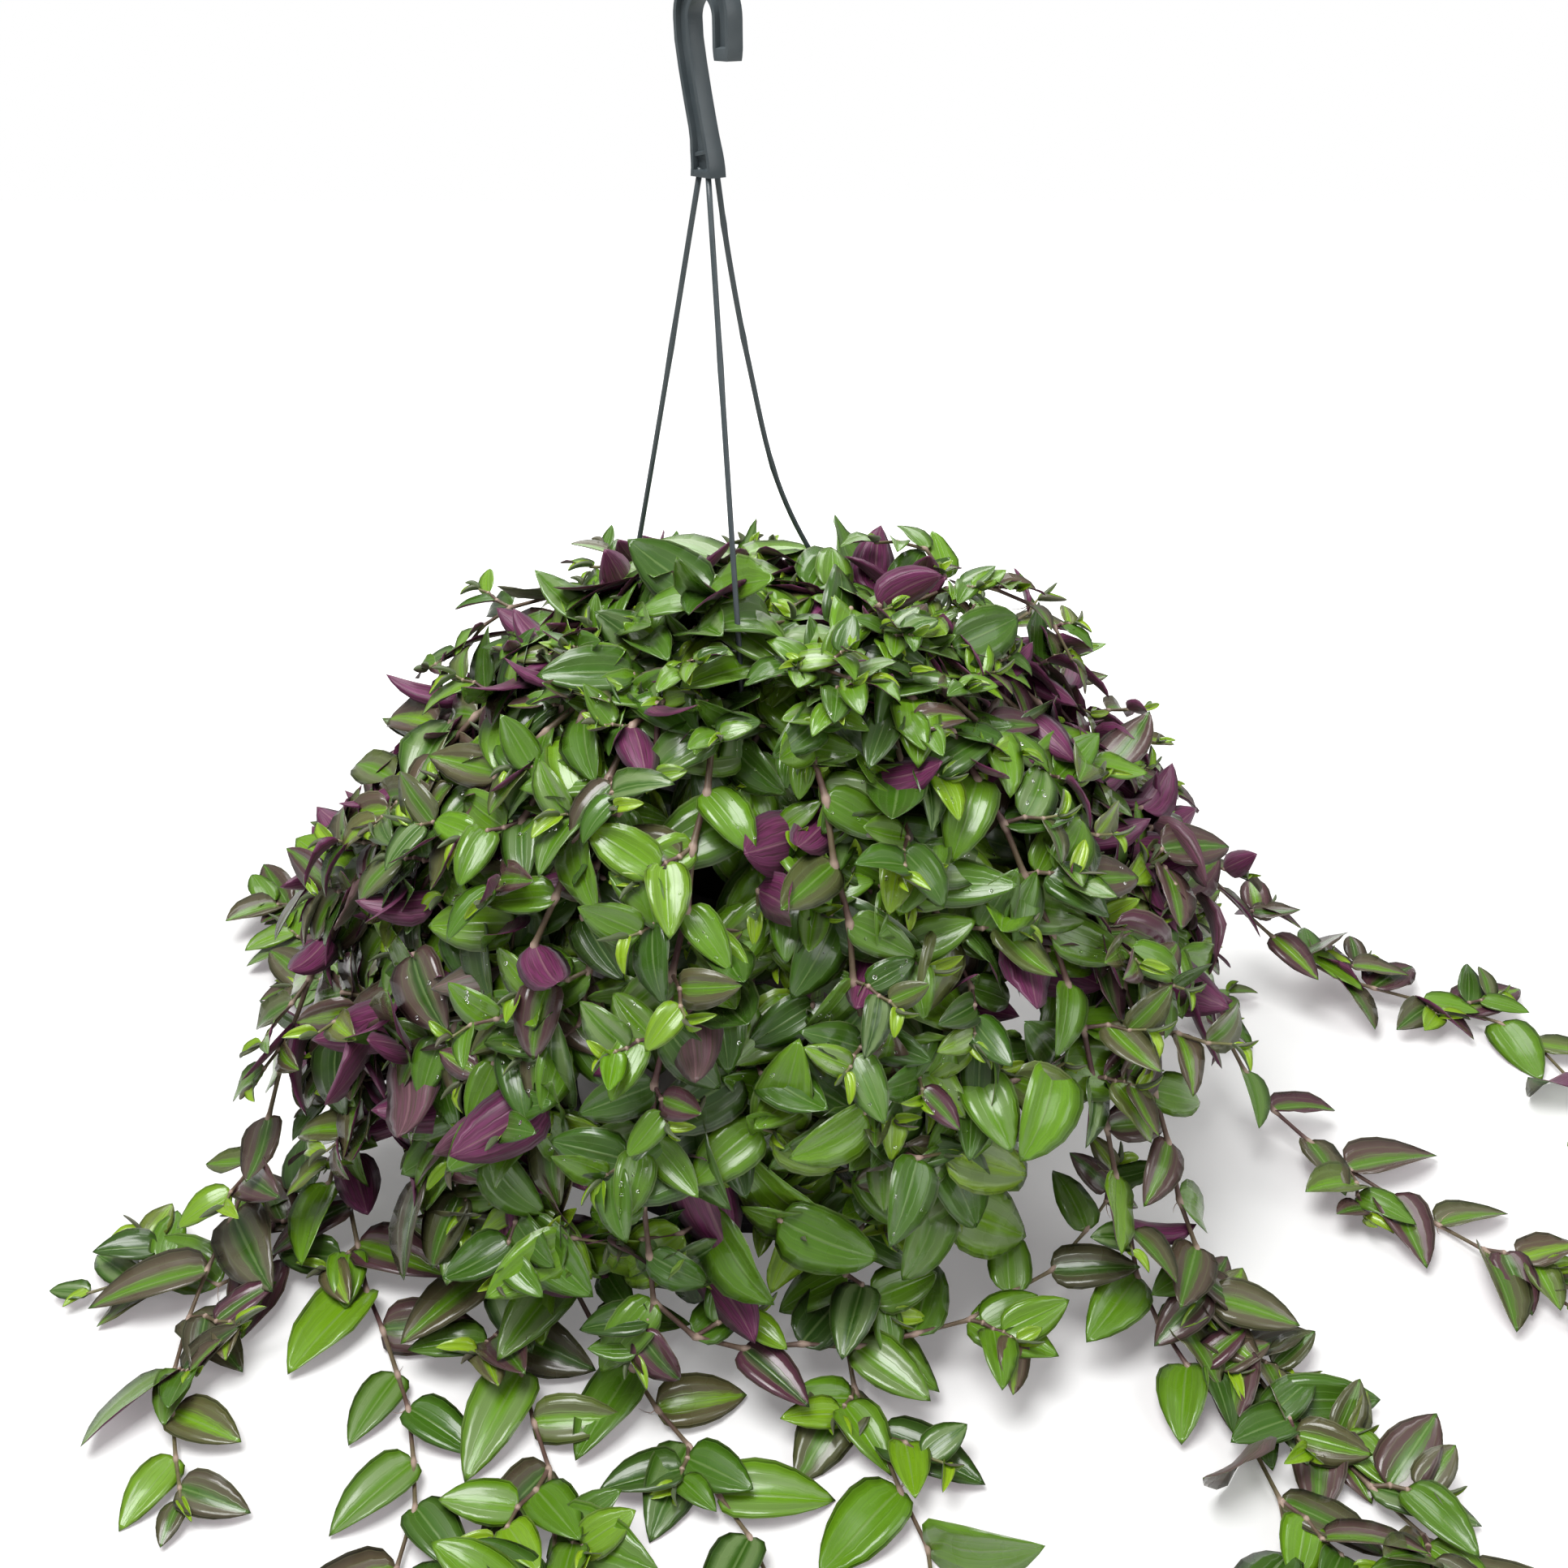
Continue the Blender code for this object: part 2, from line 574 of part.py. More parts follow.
def build_strand(name, route):
    """A round strand along its route, as a separate solid."""
    stations = []
    across = None
    for index, centre in enumerate(route):
        tangent = (route[min(index + 1, len(route) - 1)] - route[max(index - 1, 0)]).normalized()
        across = tangent.orthogonal() if across is None else across - tangent * across.dot(tangent)
        across.normalize()
        stations.append((centre, across.copy(), tangent.cross(across)))
    ring = [(STRAND_RADIUS * math.cos(2 * math.pi * k / STRAND_SIDES),
             STRAND_RADIUS * math.sin(2 * math.pi * k / STRAND_SIDES)) for k in range(STRAND_SIDES)]
    return sweep(name, stations, lambda index: ring, SLATE, 0.45)


def build_clip(degrees):
    """The clip at a strand's end: a block outside the rim with a tab that catches under its lip."""
    lip = RIM_TOP - RIM_LIP_HEIGHT
    outline = [(RIM_RADIUS + GAP, lip - GAP), (WALL_TOP_RADIUS + 0.0012, lip - GAP),
               (WALL_TOP_RADIUS + 0.0012, lip - 0.0032), (RIM_RADIUS + 0.0050, lip - 0.0032),
               (RIM_RADIUS + 0.0058, lip - 0.0020), (RIM_RADIUS + 0.0058, RIM_TOP + 0.0010),
               (RIM_RADIUS + GAP, RIM_TOP + 0.0010)]
    half = 0.0034
    verts = [(r, side * half, z) for side in (-1, 1) for r, z in outline]
    count = len(outline)
    faces = [[k, (k + 1) % count, count + (k + 1) % count, count + k] for k in range(count)]
    faces += [list(range(count))[::-1], list(range(count, 2 * count))]
    made = add_object("clip", verts, faces, SLATE, 0.45)
    made.data.transform(Matrix.Rotation(math.radians(degrees), 4, "Z"))
    work = bmesh.new()
    work.from_mesh(made.data)
    bmesh.ops.recalc_face_normals(work, faces=work.faces)
    work.to_mesh(made.data)
    work.free()
    return made


def build_hanger():
    """The hanger, one moulding: hook, three strands and a clip at the end of each."""
    hanger = build_hook()
    for name, route in strand_routes().items():
        strand = build_strand(f"strand_{name}", route)
        apply_boolean(strand, build_clip(CLIP_AZIMUTHS[name]), "UNION")
        apply_boolean(hanger, strand, "UNION")
    return hanger


# ---------------------------------------------------------------- vines as solids

def leaf_ring(leaf, grow=0.0):
    """The leaf's widest section, as right edge, top, left edge and underside."""
    across = leaf.face.cross(leaf.along)
    middle = leaf.base + leaf.along * leaf.length * LEAF_WIDEST
    half = leaf.half_width + grow
    thick = LEAF_THICKNESS / 2 + grow
    lift = leaf.face * leaf.half_width * LEAF_EDGE_LIFT
    return [middle + across * half + lift, middle + leaf.face * thick,
            middle - across * half + lift, middle - leaf.face * thick]


def leaf_neck(leaf, outward_share):
    """The leaf's section where it is just clear of the stem, in the order of its widest section.

    A leaf that lies closer to its stem's own line is clear of the stem only further out.
    """
    across = leaf.face.cross(leaf.along)
    clear = (NODE_RADIUS / 2 + NECK_HALF_THICKNESS) / max(outward_share, 0.1)
    middle = leaf.base + leaf.along * min(max(clear, NECK_LEAST_REACH), leaf.length * NECK_MOST_SHARE)
    return [middle + across * ROOT_HALF_WIDTH, middle + leaf.face * NECK_HALF_THICKNESS,
            middle - across * ROOT_HALF_WIDTH, middle - leaf.face * NECK_HALF_THICKNESS]


def leaf_tip(leaf, grow=0.0):
    """The leaf's tip, curled a little to its underside."""
    return leaf.base + leaf.along * (leaf.length + grow) - leaf.face * leaf.length * LEAF_TIP_DROOP


def leaf_envelope(leaf):
    """The whole leaf with its root, as a closed shape a little larger all round."""
    across = leaf.face.cross(leaf.along)
    root = leaf.base + leaf.along * 0.002
    side, thick = across * (ROOT_HALF_WIDTH + LEAF_GAP), leaf.face * (NODE_RADIUS + LEAF_GAP)
    verts = [leaf.base - leaf.along * 0.003, root + side, root + thick, root - side, root - thick,
             *leaf_ring(leaf, LEAF_GAP), leaf_tip(leaf, LEAF_GAP)]
    faces = [(0, k + 1, (k + 1) % 4 + 1) for k in range(4)]
    faces += [(k + 1, (k + 1) % 4 + 1, (k + 1) % 4 + 5, k + 5) for k in range(4)]
    faces += [(9, (k + 1) % 4 + 5, k + 5) for k in range(4)]
    return BVHTree.FromPolygons(verts, faces)


def leaf_blade(leaf):
    """The part of a leaf that is clear of its own stem, as a closed shape."""
    start = leaf.base + leaf.along * leaf.length * BLADE_START
    verts = [start, *leaf_ring(leaf, LEAF_GAP), leaf_tip(leaf, LEAF_GAP)]
    faces = [(0, k + 1, (k + 1) % 4 + 1) for k in range(4)]
    faces += [(5, (k + 1) % 4 + 1, k + 1) for k in range(4)]
    return BVHTree.FromPolygons(verts, faces)


def frames_along(points):
    """Turning-free (tangent, across, up) frames at each of the points."""
    frames = []
    across = None
    for index in range(len(points)):
        tangent = (points[min(index + 1, len(points) - 1)] - points[max(index - 1, 0)]).normalized()
        if across is None:
            across = tangent.orthogonal()
        across = (across - tangent * across.dot(tangent)).normalized()
        frames.append((tangent, across.copy(), tangent.cross(across)))
    return frames


class VineSolid:
    """One vine as a three-sided stem with leaves drawn out of its sides."""

    sides = 3

    def __init__(self, vine):
        self.vine = vine
        self.frames = frames_along(vine.points)
        self.verts, self.faces, self.rings = [], [], []
        self.stem_tree = self.plain_stem()

    def ring_at(self, index, shift, radius):
        """Corners of the stem's section at a node, moved along the stem."""
        tangent, across, up = self.frames[index]
        centre = self.vine.points[index] + tangent * shift
        corners = []
        for k in range(self.sides):
            angle = 2 * math.pi * k / self.sides
            corners.append(centre + (across * math.cos(angle) + up * math.sin(angle)) * radius)
        return corners

    def radius_at(self, index):
        """The stem's radius at a node, thinner at the tip."""
        left = len(self.vine.points) - 1 - index
        return NODE_RADIUS * (0.5, 0.7, 0.85)[left] if left < 3 else NODE_RADIUS

    def plain_stem(self):
        """A tree of the stem alone, a little fat, for finding what a leaf would meet."""
        verts, faces = [], []
        for index in range(len(self.vine.points)):
            verts += self.ring_at(index, 0, self.radius_at(index) + 0.0006)
        for ring in range(len(self.vine.points) - 1):
            for k in range(self.sides):
                n = (k + 1) % self.sides
                faces.append((3 * ring + k, 3 * ring + n, 3 * ring + 3 + n, 3 * ring + 3 + k))
        return BVHTree.FromPolygons(verts, faces)

    def add_ring(self, corners):
        """Store a ring of the stem and join it to the one before."""
        first = len(self.verts)
        self.verts += corners
        ring = list(range(first, first + self.sides))
        if self.rings:
            self.join(self.rings[-1], ring, None)
        self.rings.append(ring)
        return ring

    def join(self, low, high, skip):
        """Faces between two rings, but not on the side that a leaf leaves by."""
        for k in range(self.sides):
            n = (k + 1) % self.sides
            if k != skip:
                self.faces.append([low[k], low[n], high[n], high[k]])

    def add_leaf(self, leaf, low, high, face):
        """Draw a leaf out of one side between two rings of the stem."""
        n = (face + 1) % self.sides
        root = [low[face], low[n], high[n], high[face]]
        neck = leaf_neck(leaf, self.outward_side(leaf.node, face).dot(leaf.along))
        middle = sum((self.verts[c] for c in root), Vector()) / 4
        centre = sum(neck, Vector()) / 4
        spans = [(self.verts[c] - middle).normalized() for c in root]
        best = min(range(4), key=lambda turn: sum(
            (spans[k] - (neck[(k + turn) % 4] - centre).normalized()).length for k in range(4)))
        first = len(self.verts)
        for ring in (neck, leaf_ring(leaf)):
            self.verts += [ring[(k + best) % 4] for k in range(4)]
        tip = len(self.verts)
        self.verts.append(leaf_tip(leaf))
        for k in range(4):
            m = (k + 1) % 4
            self.faces.append([root[k], root[m], first + m, first + k])
            self.faces.append([first + k, first + m, first + m + 4, first + k + 4])
            self.faces.append([first + k + 4, first + m + 4, tip])

    def outward_side(self, index, side):
        """The way that a side of the stem faces at a node."""
        _, across, up = self.frames[index]
        angle = 2 * math.pi * (side + 0.5) / self.sides
        return across * math.cos(angle) + up * math.sin(angle)

    def side_for(self, leaf):
        """The side of the stem that faces the way a leaf points."""
        return max(range(self.sides), key=lambda k: self.outward_side(leaf.node, k).dot(leaf.along))

    def build(self, leaves):
        """The finished object, with the leaves that found room."""
        by_node = {leaf.node: leaf for leaf in leaves}
        last = len(self.vine.points) - 1
        for index in range(last + 1):
            radius = self.radius_at(index)
            leaf = by_node.get(index)
            if leaf is None:
                self.add_ring(self.ring_at(index, 0, radius if 0 < index < last else STEM_RADIUS * 0.9))
                continue
            half = min(0.0026, leaf.length * 0.06)
            low = self.add_ring(self.ring_at(index, -half, radius))
            high = list(range(len(self.verts), len(self.verts) + self.sides))
            self.verts += self.ring_at(index, half, radius)
            side = self.side_for(leaf)
            self.join(low, high, side)
            self.rings.append(high)
            self.add_leaf(leaf, low, high, side)
        self.faces.append(self.rings[0][::-1])
        tip = len(self.verts)
        self.verts.append(self.vine.points[-1] + self.frames[-1][0] * 0.003)
        for k in range(self.sides):
            self.faces.append([self.rings[-1][k], self.rings[-1][(k + 1) % self.sides], tip])
        return add_object(self.vine.name, self.verts, self.faces, LEAF_GREEN, 0.35)


def tree_of(thing):
    """A tree of an object's evaluated faces."""
    graph = bpy.context.evaluated_depsgraph_get()
    graph.update()
    return BVHTree.FromObject(thing, graph)


def build_vines(holder):
    """The vines as solids. A leaf that would meet another piece is left off."""
    vines = grow_plant()
    solids = [VineSolid(vine) for vine in vines]
    fixed = [tree_of(thing) for thing in holder]
    placed = []
    kept = [[] for _ in vines]
    for turn in range(max(len(vine.leaves) for vine in vines)):
        for number, vine in enumerate(vines):
            if turn >= len(vine.leaves) or vine.leaves[turn].length < SMALLEST_SOLID_LEAF:
                continue
            leaf = vine.leaves[turn]
            whole = leaf_envelope(leaf)
            if any(whole.overlap(tree) for tree in fixed):
                continue
            if leaf_blade(leaf).overlap(solids[number].stem_tree):
                continue
            if any(whole.overlap(other.stem_tree) for k, other in enumerate(solids) if k != number):
                continue
            middle = leaf.base + leaf.along * leaf.length * 0.5
            reach = leaf.length * LEAF_REACH
            near = [tree for spot, size, tree in placed if (spot - middle).length < size + reach]
            if any(whole.overlap(tree) for tree in near):
                continue
            placed.append((middle, reach, whole))
            kept[number].append(leaf)
    for solid, leaves in zip(solids, kept):
        solid.build(leaves)


def main():
    """Build the whole object."""
    clear_scene()
    build_stand()
    build_pot()
    build_hanger()
    build_vines(list(bpy.context.scene.objects))


main()
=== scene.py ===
"""A potted trailing tradescantia on its round stand, finished for rendering.

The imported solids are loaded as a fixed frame. The vines are grown again by the same rule as the solids, so
that every stem and leaf lies where its solid does, and each is then modelled finely: round stems with
swollen nodes and papery collars, folded leaves with purple undersides, side shoots and water drops.
"""

import logging
import math
import random
from dataclasses import dataclass, field
from enum import Enum

import bpy
from mathutils import Matrix, Quaternion, Vector
from mathutils.kdtree import KDTree


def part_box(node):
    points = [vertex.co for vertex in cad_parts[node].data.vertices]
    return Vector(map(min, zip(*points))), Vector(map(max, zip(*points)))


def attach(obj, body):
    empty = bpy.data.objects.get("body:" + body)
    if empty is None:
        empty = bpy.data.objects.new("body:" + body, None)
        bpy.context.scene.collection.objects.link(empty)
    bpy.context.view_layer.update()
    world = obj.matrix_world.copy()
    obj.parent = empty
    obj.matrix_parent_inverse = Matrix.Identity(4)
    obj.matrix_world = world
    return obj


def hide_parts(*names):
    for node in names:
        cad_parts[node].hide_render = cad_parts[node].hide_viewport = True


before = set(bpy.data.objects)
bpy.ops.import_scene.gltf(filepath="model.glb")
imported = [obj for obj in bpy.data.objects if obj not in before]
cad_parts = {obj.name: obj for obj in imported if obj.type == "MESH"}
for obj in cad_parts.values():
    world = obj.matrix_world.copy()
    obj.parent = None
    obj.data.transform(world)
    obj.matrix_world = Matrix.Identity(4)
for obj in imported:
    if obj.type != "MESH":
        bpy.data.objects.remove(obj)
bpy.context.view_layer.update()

logging.basicConfig(level=logging.INFO, format="%(message)s")
log = logging.getLogger("tradescantia")

BODY = "root"

# ------------------------------------------------------------------ sizes shared with the solids
SOIL_TOP = 0.300
RIM_TOP = 0.315
RIM_RADIUS = 0.0905
WALL_TOP_RADIUS = 0.0855
POT_BOTTOM = 0.2004
FOOT_HEIGHT = 0.030
FOOT_RADIUS = 0.125
DRUM_RADIUS = 0.120
HOOK_FOOT = Vector((-0.018, 0.0, 0.597))
CLIP_RADIUS = 0.0945
CLIP_DEPTH = 0.009
CLIP_AZIMUTHS = {"front": -90.0, "left": 150.0, "right": 30.0}

SEED = 4127
STEM_CLEARANCE = 0.0064
MIN_STEM_HEIGHT = 0.0038
LEAF_FLOOR_GAP = 0.0012
LEAF_WIDEST = 0.42
CROWN_VINES = 10
MOUND_VINES = 25
FLOOR_VINES = 7
FLOOR_ARC = (-25.0, 205.0)
TRIES = 160
FRONT_SQUEEZE = 0.74
BACK_SQUEEZE = 0.84


# ------------------------------------------------------------------ growth

@dataclass
class Leaf:
    """One leaf: where its sheath leaves the stem, how it points and faces, and its size."""

    node: int
    base: Vector
    along: Vector
    face: Vector
    length: float
    half_width: float


@dataclass
class Vine:
    """One stem, as the points of its nodes, with its leaves."""

    name: str
    kind: str
    points: list
    leaves: list = field(default_factory=list)


# Long vines whose run across the surface is listed, from the soil to the tip.
LED_ROUTES = {
    "vine_left_low": [(-0.045, -0.006, 0.303), (-0.060, -0.010, 0.338), (-0.115, -0.028, 0.342),
                      (-0.195, -0.055, 0.275), (-0.262, -0.085, 0.160), (-0.300, -0.118, 0.055),
                      (-0.320, -0.180, 0.014), (-0.316, -0.240, 0.006), (-0.285, -0.315, 0.007)],
    "vine_left_front": [(-0.034, -0.026, 0.303), (-0.045, -0.036, 0.336), (-0.088, -0.068, 0.340),
                        (-0.160, -0.102, 0.275), (-0.220, -0.104, 0.150), (-0.247, -0.112, 0.040),
                        (-0.226, -0.172, 0.007), (-0.186, -0.250, 0.006), (-0.166, -0.325, 0.006),
                        (-0.178, -0.395, 0.006)],
    "vine_right_back": [(0.045, 0.012, 0.303), (0.060, 0.020, 0.338), (0.125, 0.048, 0.338),
                        (0.235, 0.092, 0.240), (0.330, 0.112, 0.110), (0.420, 0.116, 0.030),
                        (0.500, 0.100, 0.010), (0.552, 0.074, 0.007), (0.572, 0.004, 0.006),
                        (0.566, -0.062, 0.007)],
    "vine_right_side": [(0.048, -0.012, 0.303), (0.066, -0.018, 0.336), (0.130, -0.026, 0.334),
                        (0.222, -0.022, 0.232), (0.292, -0.012, 0.105), (0.342, -0.036, 0.026),
                        (0.398, -0.090, 0.006), (0.440, -0.138, 0.006), (0.482, -0.196, 0.006),
                        (0.520, -0.262, 0.007)],
    "vine_right_front": [(0.036, -0.034, 0.303), (0.052, -0.048, 0.336), (0.104, -0.088, 0.336),
                         (0.168, -0.138, 0.222), (0.208, -0.170, 0.090), (0.228, -0.202, 0.020),
                         (0.260, -0.262, 0.006), (0.272, -0.306, 0.006), (0.266, -0.360, 0.006),
                         (0.280, -0.402, 0.007)],
    "vine_right_corner": [(0.052, -0.030, 0.303), (0.066, -0.042, 0.337), (0.122, -0.074, 0.334),
                          (0.206, -0.124, 0.200), (0.250, -0.176, 0.060), (0.276, -0.232, 0.010),
                          (0.304, -0.276, 0.006), (0.336, -0.330, 0.006), (0.368, -0.384, 0.007)],
    "vine_cross_front": [(-0.012, -0.050, 0.303), (-0.014, -0.066, 0.335), (-0.016, -0.108, 0.338),
                         (-0.034, -0.182, 0.250), (-0.052, -0.222, 0.130), (-0.040, -0.240, 0.050),
                         (0.030, -0.236, 0.030), (0.105, -0.228, 0.034), (0.178, -0.190, 0.048),
                         (0.214, -0.146, 0.062)],
    "vine_front_low": [(-0.028, -0.044, 0.303), (-0.036, -0.060, 0.336), (-0.062, -0.102, 0.334),
                       (-0.112, -0.168, 0.232), (-0.128, -0.178, 0.110), (-0.096, -0.198, 0.024),
                       (-0.044, -0.262, 0.006), (-0.004, -0.322, 0.006), (0.032, -0.392, 0.007)],
    "vine_front_middle": [(0.020, -0.052, 0.303), (0.024, -0.068, 0.335), (0.034, -0.110, 0.334),
                          (0.056, -0.170, 0.236), (0.066, -0.196, 0.120), (0.052, -0.212, 0.026),
                          (0.066, -0.266, 0.007), (0.088, -0.330, 0.006), (0.096, -0.404, 0.007)],
    "vine_front_left": [(-0.040, -0.040, 0.303), (-0.052, -0.052, 0.336), (-0.094, -0.090, 0.330),
                        (-0.148, -0.142, 0.220), (-0.170, -0.166, 0.100), (-0.146, -0.196, 0.022),
                        (-0.112, -0.268, 0.007), (-0.092, -0.340, 0.006), (-0.102, -0.414, 0.007)],
    "vine_right_shoulder": [(0.042, 0.004, 0.303), (0.056, 0.008, 0.332), (0.092, 0.020, 0.360),
                            (0.138, 0.028, 0.368), (0.174, 0.024, 0.352), (0.192, 0.012, 0.326)],
    "vine_left_shoulder": [(-0.044, 0.016, 0.303), (-0.058, 0.022, 0.332), (-0.088, 0.034, 0.352),
                           (-0.124, 0.042, 0.356), (-0.160, 0.040, 0.340), (-0.184, 0.030, 0.312)],
    "vine_top_sprig": [(0.018, 0.020, 0.303), (0.030, 0.030, 0.330), (0.078, 0.046, 0.352),
                       (0.122, 0.050, 0.368), (0.104, 0.048, 0.384), (0.070, 0.046, 0.391)],
}

SHORT_LED_VINES = ("vine_top_sprig", "vine_right_shoulder", "vine_left_shoulder")

# The mound's slope under its leaves, as (radius, height), for the widest side.
SLOPE = [(0.062, 0.342), (0.112, 0.350), (0.160, 0.322), (0.208, 0.272), (0.248, 0.212),
         (0.280, 0.150), (0.306, 0.095), (0.330, 0.045), (0.356, 0.012)]
FRONT_SQUEEZE = 0.74
BACK_SQUEEZE = 0.84


def catmull(control, steps):
    """Points of a smooth curve through the control points, with this many steps between each pair."""
    points = []
    padded = [2 * control[0] - control[1], *control, 2 * control[-1] - control[-2]]
    for a, b, c, d in zip(padded, padded[1:], padded[2:], padded[3:]):
        for k in range(steps):
            t = k / steps
            points.append(0.5 * (2 * b + (c - a) * t + (2 * a - 5 * b + 4 * c - d) * t * t
                                 + (3 * b - a - 3 * c + d) * t ** 3))
    points.append(control[-1].copy())
    return points


def squeeze(azimuth):
    """How far the mound reaches at this azimuth, against its widest side."""
    front = max(0.0, -math.sin(azimuth))
    back = max(0.0, math.sin(azimuth))
    return 1 - (1 - FRONT_SQUEEZE) * front ** 1.5 - (1 - BACK_SQUEEZE) * back ** 1.5


def polar(radius, angle, height):
    """A point from its distance and direction from the pot's axis, and its height."""
    return Vector((radius * math.cos(angle), radius * math.sin(angle), height))


def crown_route(rng, azimuth):
    """Control points of a short vine that stands up out of the soil and leans over the rim."""
    start = rng.uniform(0.010, 0.055)
    turn = rng.uniform(-0.9, 0.9)
    lift = rng.uniform(-0.006, 0.012)
    reach = rng.uniform(0.075, 0.135)
    return [polar(start, azimuth, SOIL_TOP + 0.002),
            polar(start + 0.006, azimuth, SOIL_TOP + 0.024),
            polar(start + 0.2 * (reach - start) + 0.006, azimuth + 0.3 * turn, 0.344 + lift),
            polar(start + 0.6 * (reach - start), azimuth + 0.7 * turn, 0.356 + lift),
            polar(reach, azimuth + turn, 0.352 + 1.6 * lift)]


def slope_route(rng, azimuth, kind, depth):
    """Control points of a vine that follows the mound's slope at a depth under its surface."""
    start = rng.uniform(0.012, 0.070) if kind == "mound" else rng.uniform(0.045, 0.072)
    turn = rng.uniform(-0.45, 0.45)
    control = [polar(start, azimuth, SOIL_TOP + 0.002)]
    last = rng.choice((5, 6, 7)) if kind == "mound" else len(SLOPE)
    wave = rng.uniform(0, 2 * math.pi)
    for index, (radius, height) in enumerate(SLOPE[:last]):
        share = index / (len(SLOPE) - 1)
        if radius < start + 0.015:
            continue
        angle = azimuth + turn * share + 0.07 * math.sin(wave + 2.3 * index) * (1 - 0.5 * share)
        reach = radius * (1 - 0.26 * depth * min(1, share * 3)) * (squeeze(angle) if share else 1)
        reach = max(reach, 0.104 if index == 1 else 0.0, radius * 0.5)
        control.append(polar(reach, angle, max(height - 0.016 * depth, 0.0075)))
    if kind == "floor":
        for _ in range(rng.choice((1, 2, 3))):
            angle += rng.uniform(-0.12, 0.12)
            reach += 0.042
            control.append(polar(reach, angle, 0.0065))
    return control


def node_points(rng, control, kind):
    """The stem's node points: closer together towards the tip, with a slight zigzag."""
    curve = catmull(control, 24)
    total = sum((b - a).length for a, b in zip(curve, curve[1:]))
    points = [curve[0].copy()]
    travelled, due, side = 0.0, 0.024, 1
    for a, b in zip(curve, curve[1:]):
        length = (b - a).length
        while travelled + length >= due:
            spot = a.lerp(b, (due - travelled) / length)
            across = (b - a).cross(Vector((spot.x, spot.y, 0.12))).normalized()
            left = total - due
            bend = 0.0013 * side * (0 if len(points) < 2 else 1)
            points.append(spot + across * bend)
            side = -side
            pitch = 0.027 if kind == "crown" else 0.031
            due += pitch * min(1.0, 0.42 + left / 0.13) * rng.uniform(0.88, 1.12)
        travelled += length
    if (points[-1] - curve[-1]).length < 0.007:
        points.pop()
    points.append(curve[-1].copy())
    return points


def samples(points, step=0.0026):
    """Points spaced closely along a polyline."""
    spots = []
    for a, b in zip(points, points[1:]):
        count = max(1, math.ceil((b - a).length / step))
        spots += [a.lerp(b, k / count) for k in range(count)]
    return spots + [points[-1]]


def clear_of_holder(spot):
    """Whether a stem's centre can pass through this spot without meeting the pot or the stand."""
    radius = math.hypot(spot.x, spot.y)
    if spot.z < MIN_STEM_HEIGHT:
        return False
    if spot.z < FOOT_HEIGHT + 0.004 and radius < FOOT_RADIUS + 0.0035:
        return False
    if spot.z < POT_BOTTOM + 0.004 and radius < DRUM_RADIUS + 0.0035:
        return False
    if spot.z < RIM_TOP + 0.0045 and radius < RIM_RADIUS + 0.0105:
        return spot.z > SOIL_TOP and radius < WALL_TOP_RADIUS - 0.010
    return True


def is_clear(points, taken):
    """Whether a stem along these points keeps clear of the holder and of what is already there."""
    tree = KDTree(len(taken))
    for index, spot in enumerate(taken):
        tree.insert(spot, index)
    tree.balance()
    for spot in samples(points):
        if not clear_of_holder(spot) or (taken and tree.find(spot)[2] < STEM_CLEARANCE):
            return False
    return True


def outward(spot):
    """The way the mound faces at this spot: up at the crown and on the ground, out on its flank."""
    heights = [(0.0, 4.0), (0.05, 22.0), (0.11, 50.0), (0.20, 60.0), (0.30, 46.0), (0.37, 18.0)]
    lean = heights[-1][1]
    for (low, first), (high, second) in zip(heights, heights[1:]):
        if spot.z < high:
            lean = first + (second - first) * max(0.0, spot.z - low) / (high - low)
            break
    flat = Vector((spot.x, spot.y, 0)).normalized()
    angle = math.radians(lean)
    return (flat * math.sin(angle) + Vector((0, 0, math.cos(angle)))).normalized()


def leaf_length(rng, vine, index):
    """A leaf's length: larger along the ground, and shrinking to the tip."""
    spot = vine.points[index]
    left = len(vine.points) - 1 - index
    if vine.kind == "crown":
        length = rng.uniform(0.028, 0.039)
    elif spot.z < 0.04:
        length = rng.uniform(0.047, 0.068)
    else:
        length = rng.uniform(0.037, 0.051)
    return length * (0.42, 0.62, 0.84)[left] if left < 3 else length


def aim_leaf(rng, vine, index, side):
    """A leaf at a node of the vine, lifted until it clears the surface."""
    spot = vine.points[index]
    before = vine.points[index - 1]
    after = vine.points[min(index + 1, len(vine.points) - 1)]
    tangent = (after - before).normalized()
    away = outward(spot)
    sideways = tangent.cross(away).normalized()
    length = leaf_length(rng, vine, index)
    half_width = length * rng.uniform(0.27, 0.31)
    along = (tangent * rng.uniform(0.40, 0.80) + sideways * side * rng.uniform(0.55, 0.95)
             + away * rng.uniform(0.05, 0.45))
    if spot.z < 0.04:
        along.z = max(along.z * 0.4, 0.03)
    along.normalize()
    wobble = Vector((rng.gauss(0, 0.24), rng.gauss(0, 0.24), rng.gauss(0, 0.24)))
    face = away + wobble
    if rng.random() < 0.10:
        face = (sideways * -side * rng.uniform(0.4, 1.0) - away * 0.7)
    for _ in range(24):
        face = (face - along * face.dot(along)).normalized()
        across = face.cross(along)
        middle = spot + along * length * LEAF_WIDEST
        low = min((spot + along * length - face * length * 0.10).z,
                  (middle + across * half_width).z, (middle - across * half_width).z)
        if low > LEAF_FLOOR_GAP + 0.001:
            break
        along = (along + Vector((0, 0, 0.07))).normalized()
        face = (face + Vector((0, 0, 0.16))).normalized()
    return Leaf(index, spot.copy(), along, face, length, half_width)


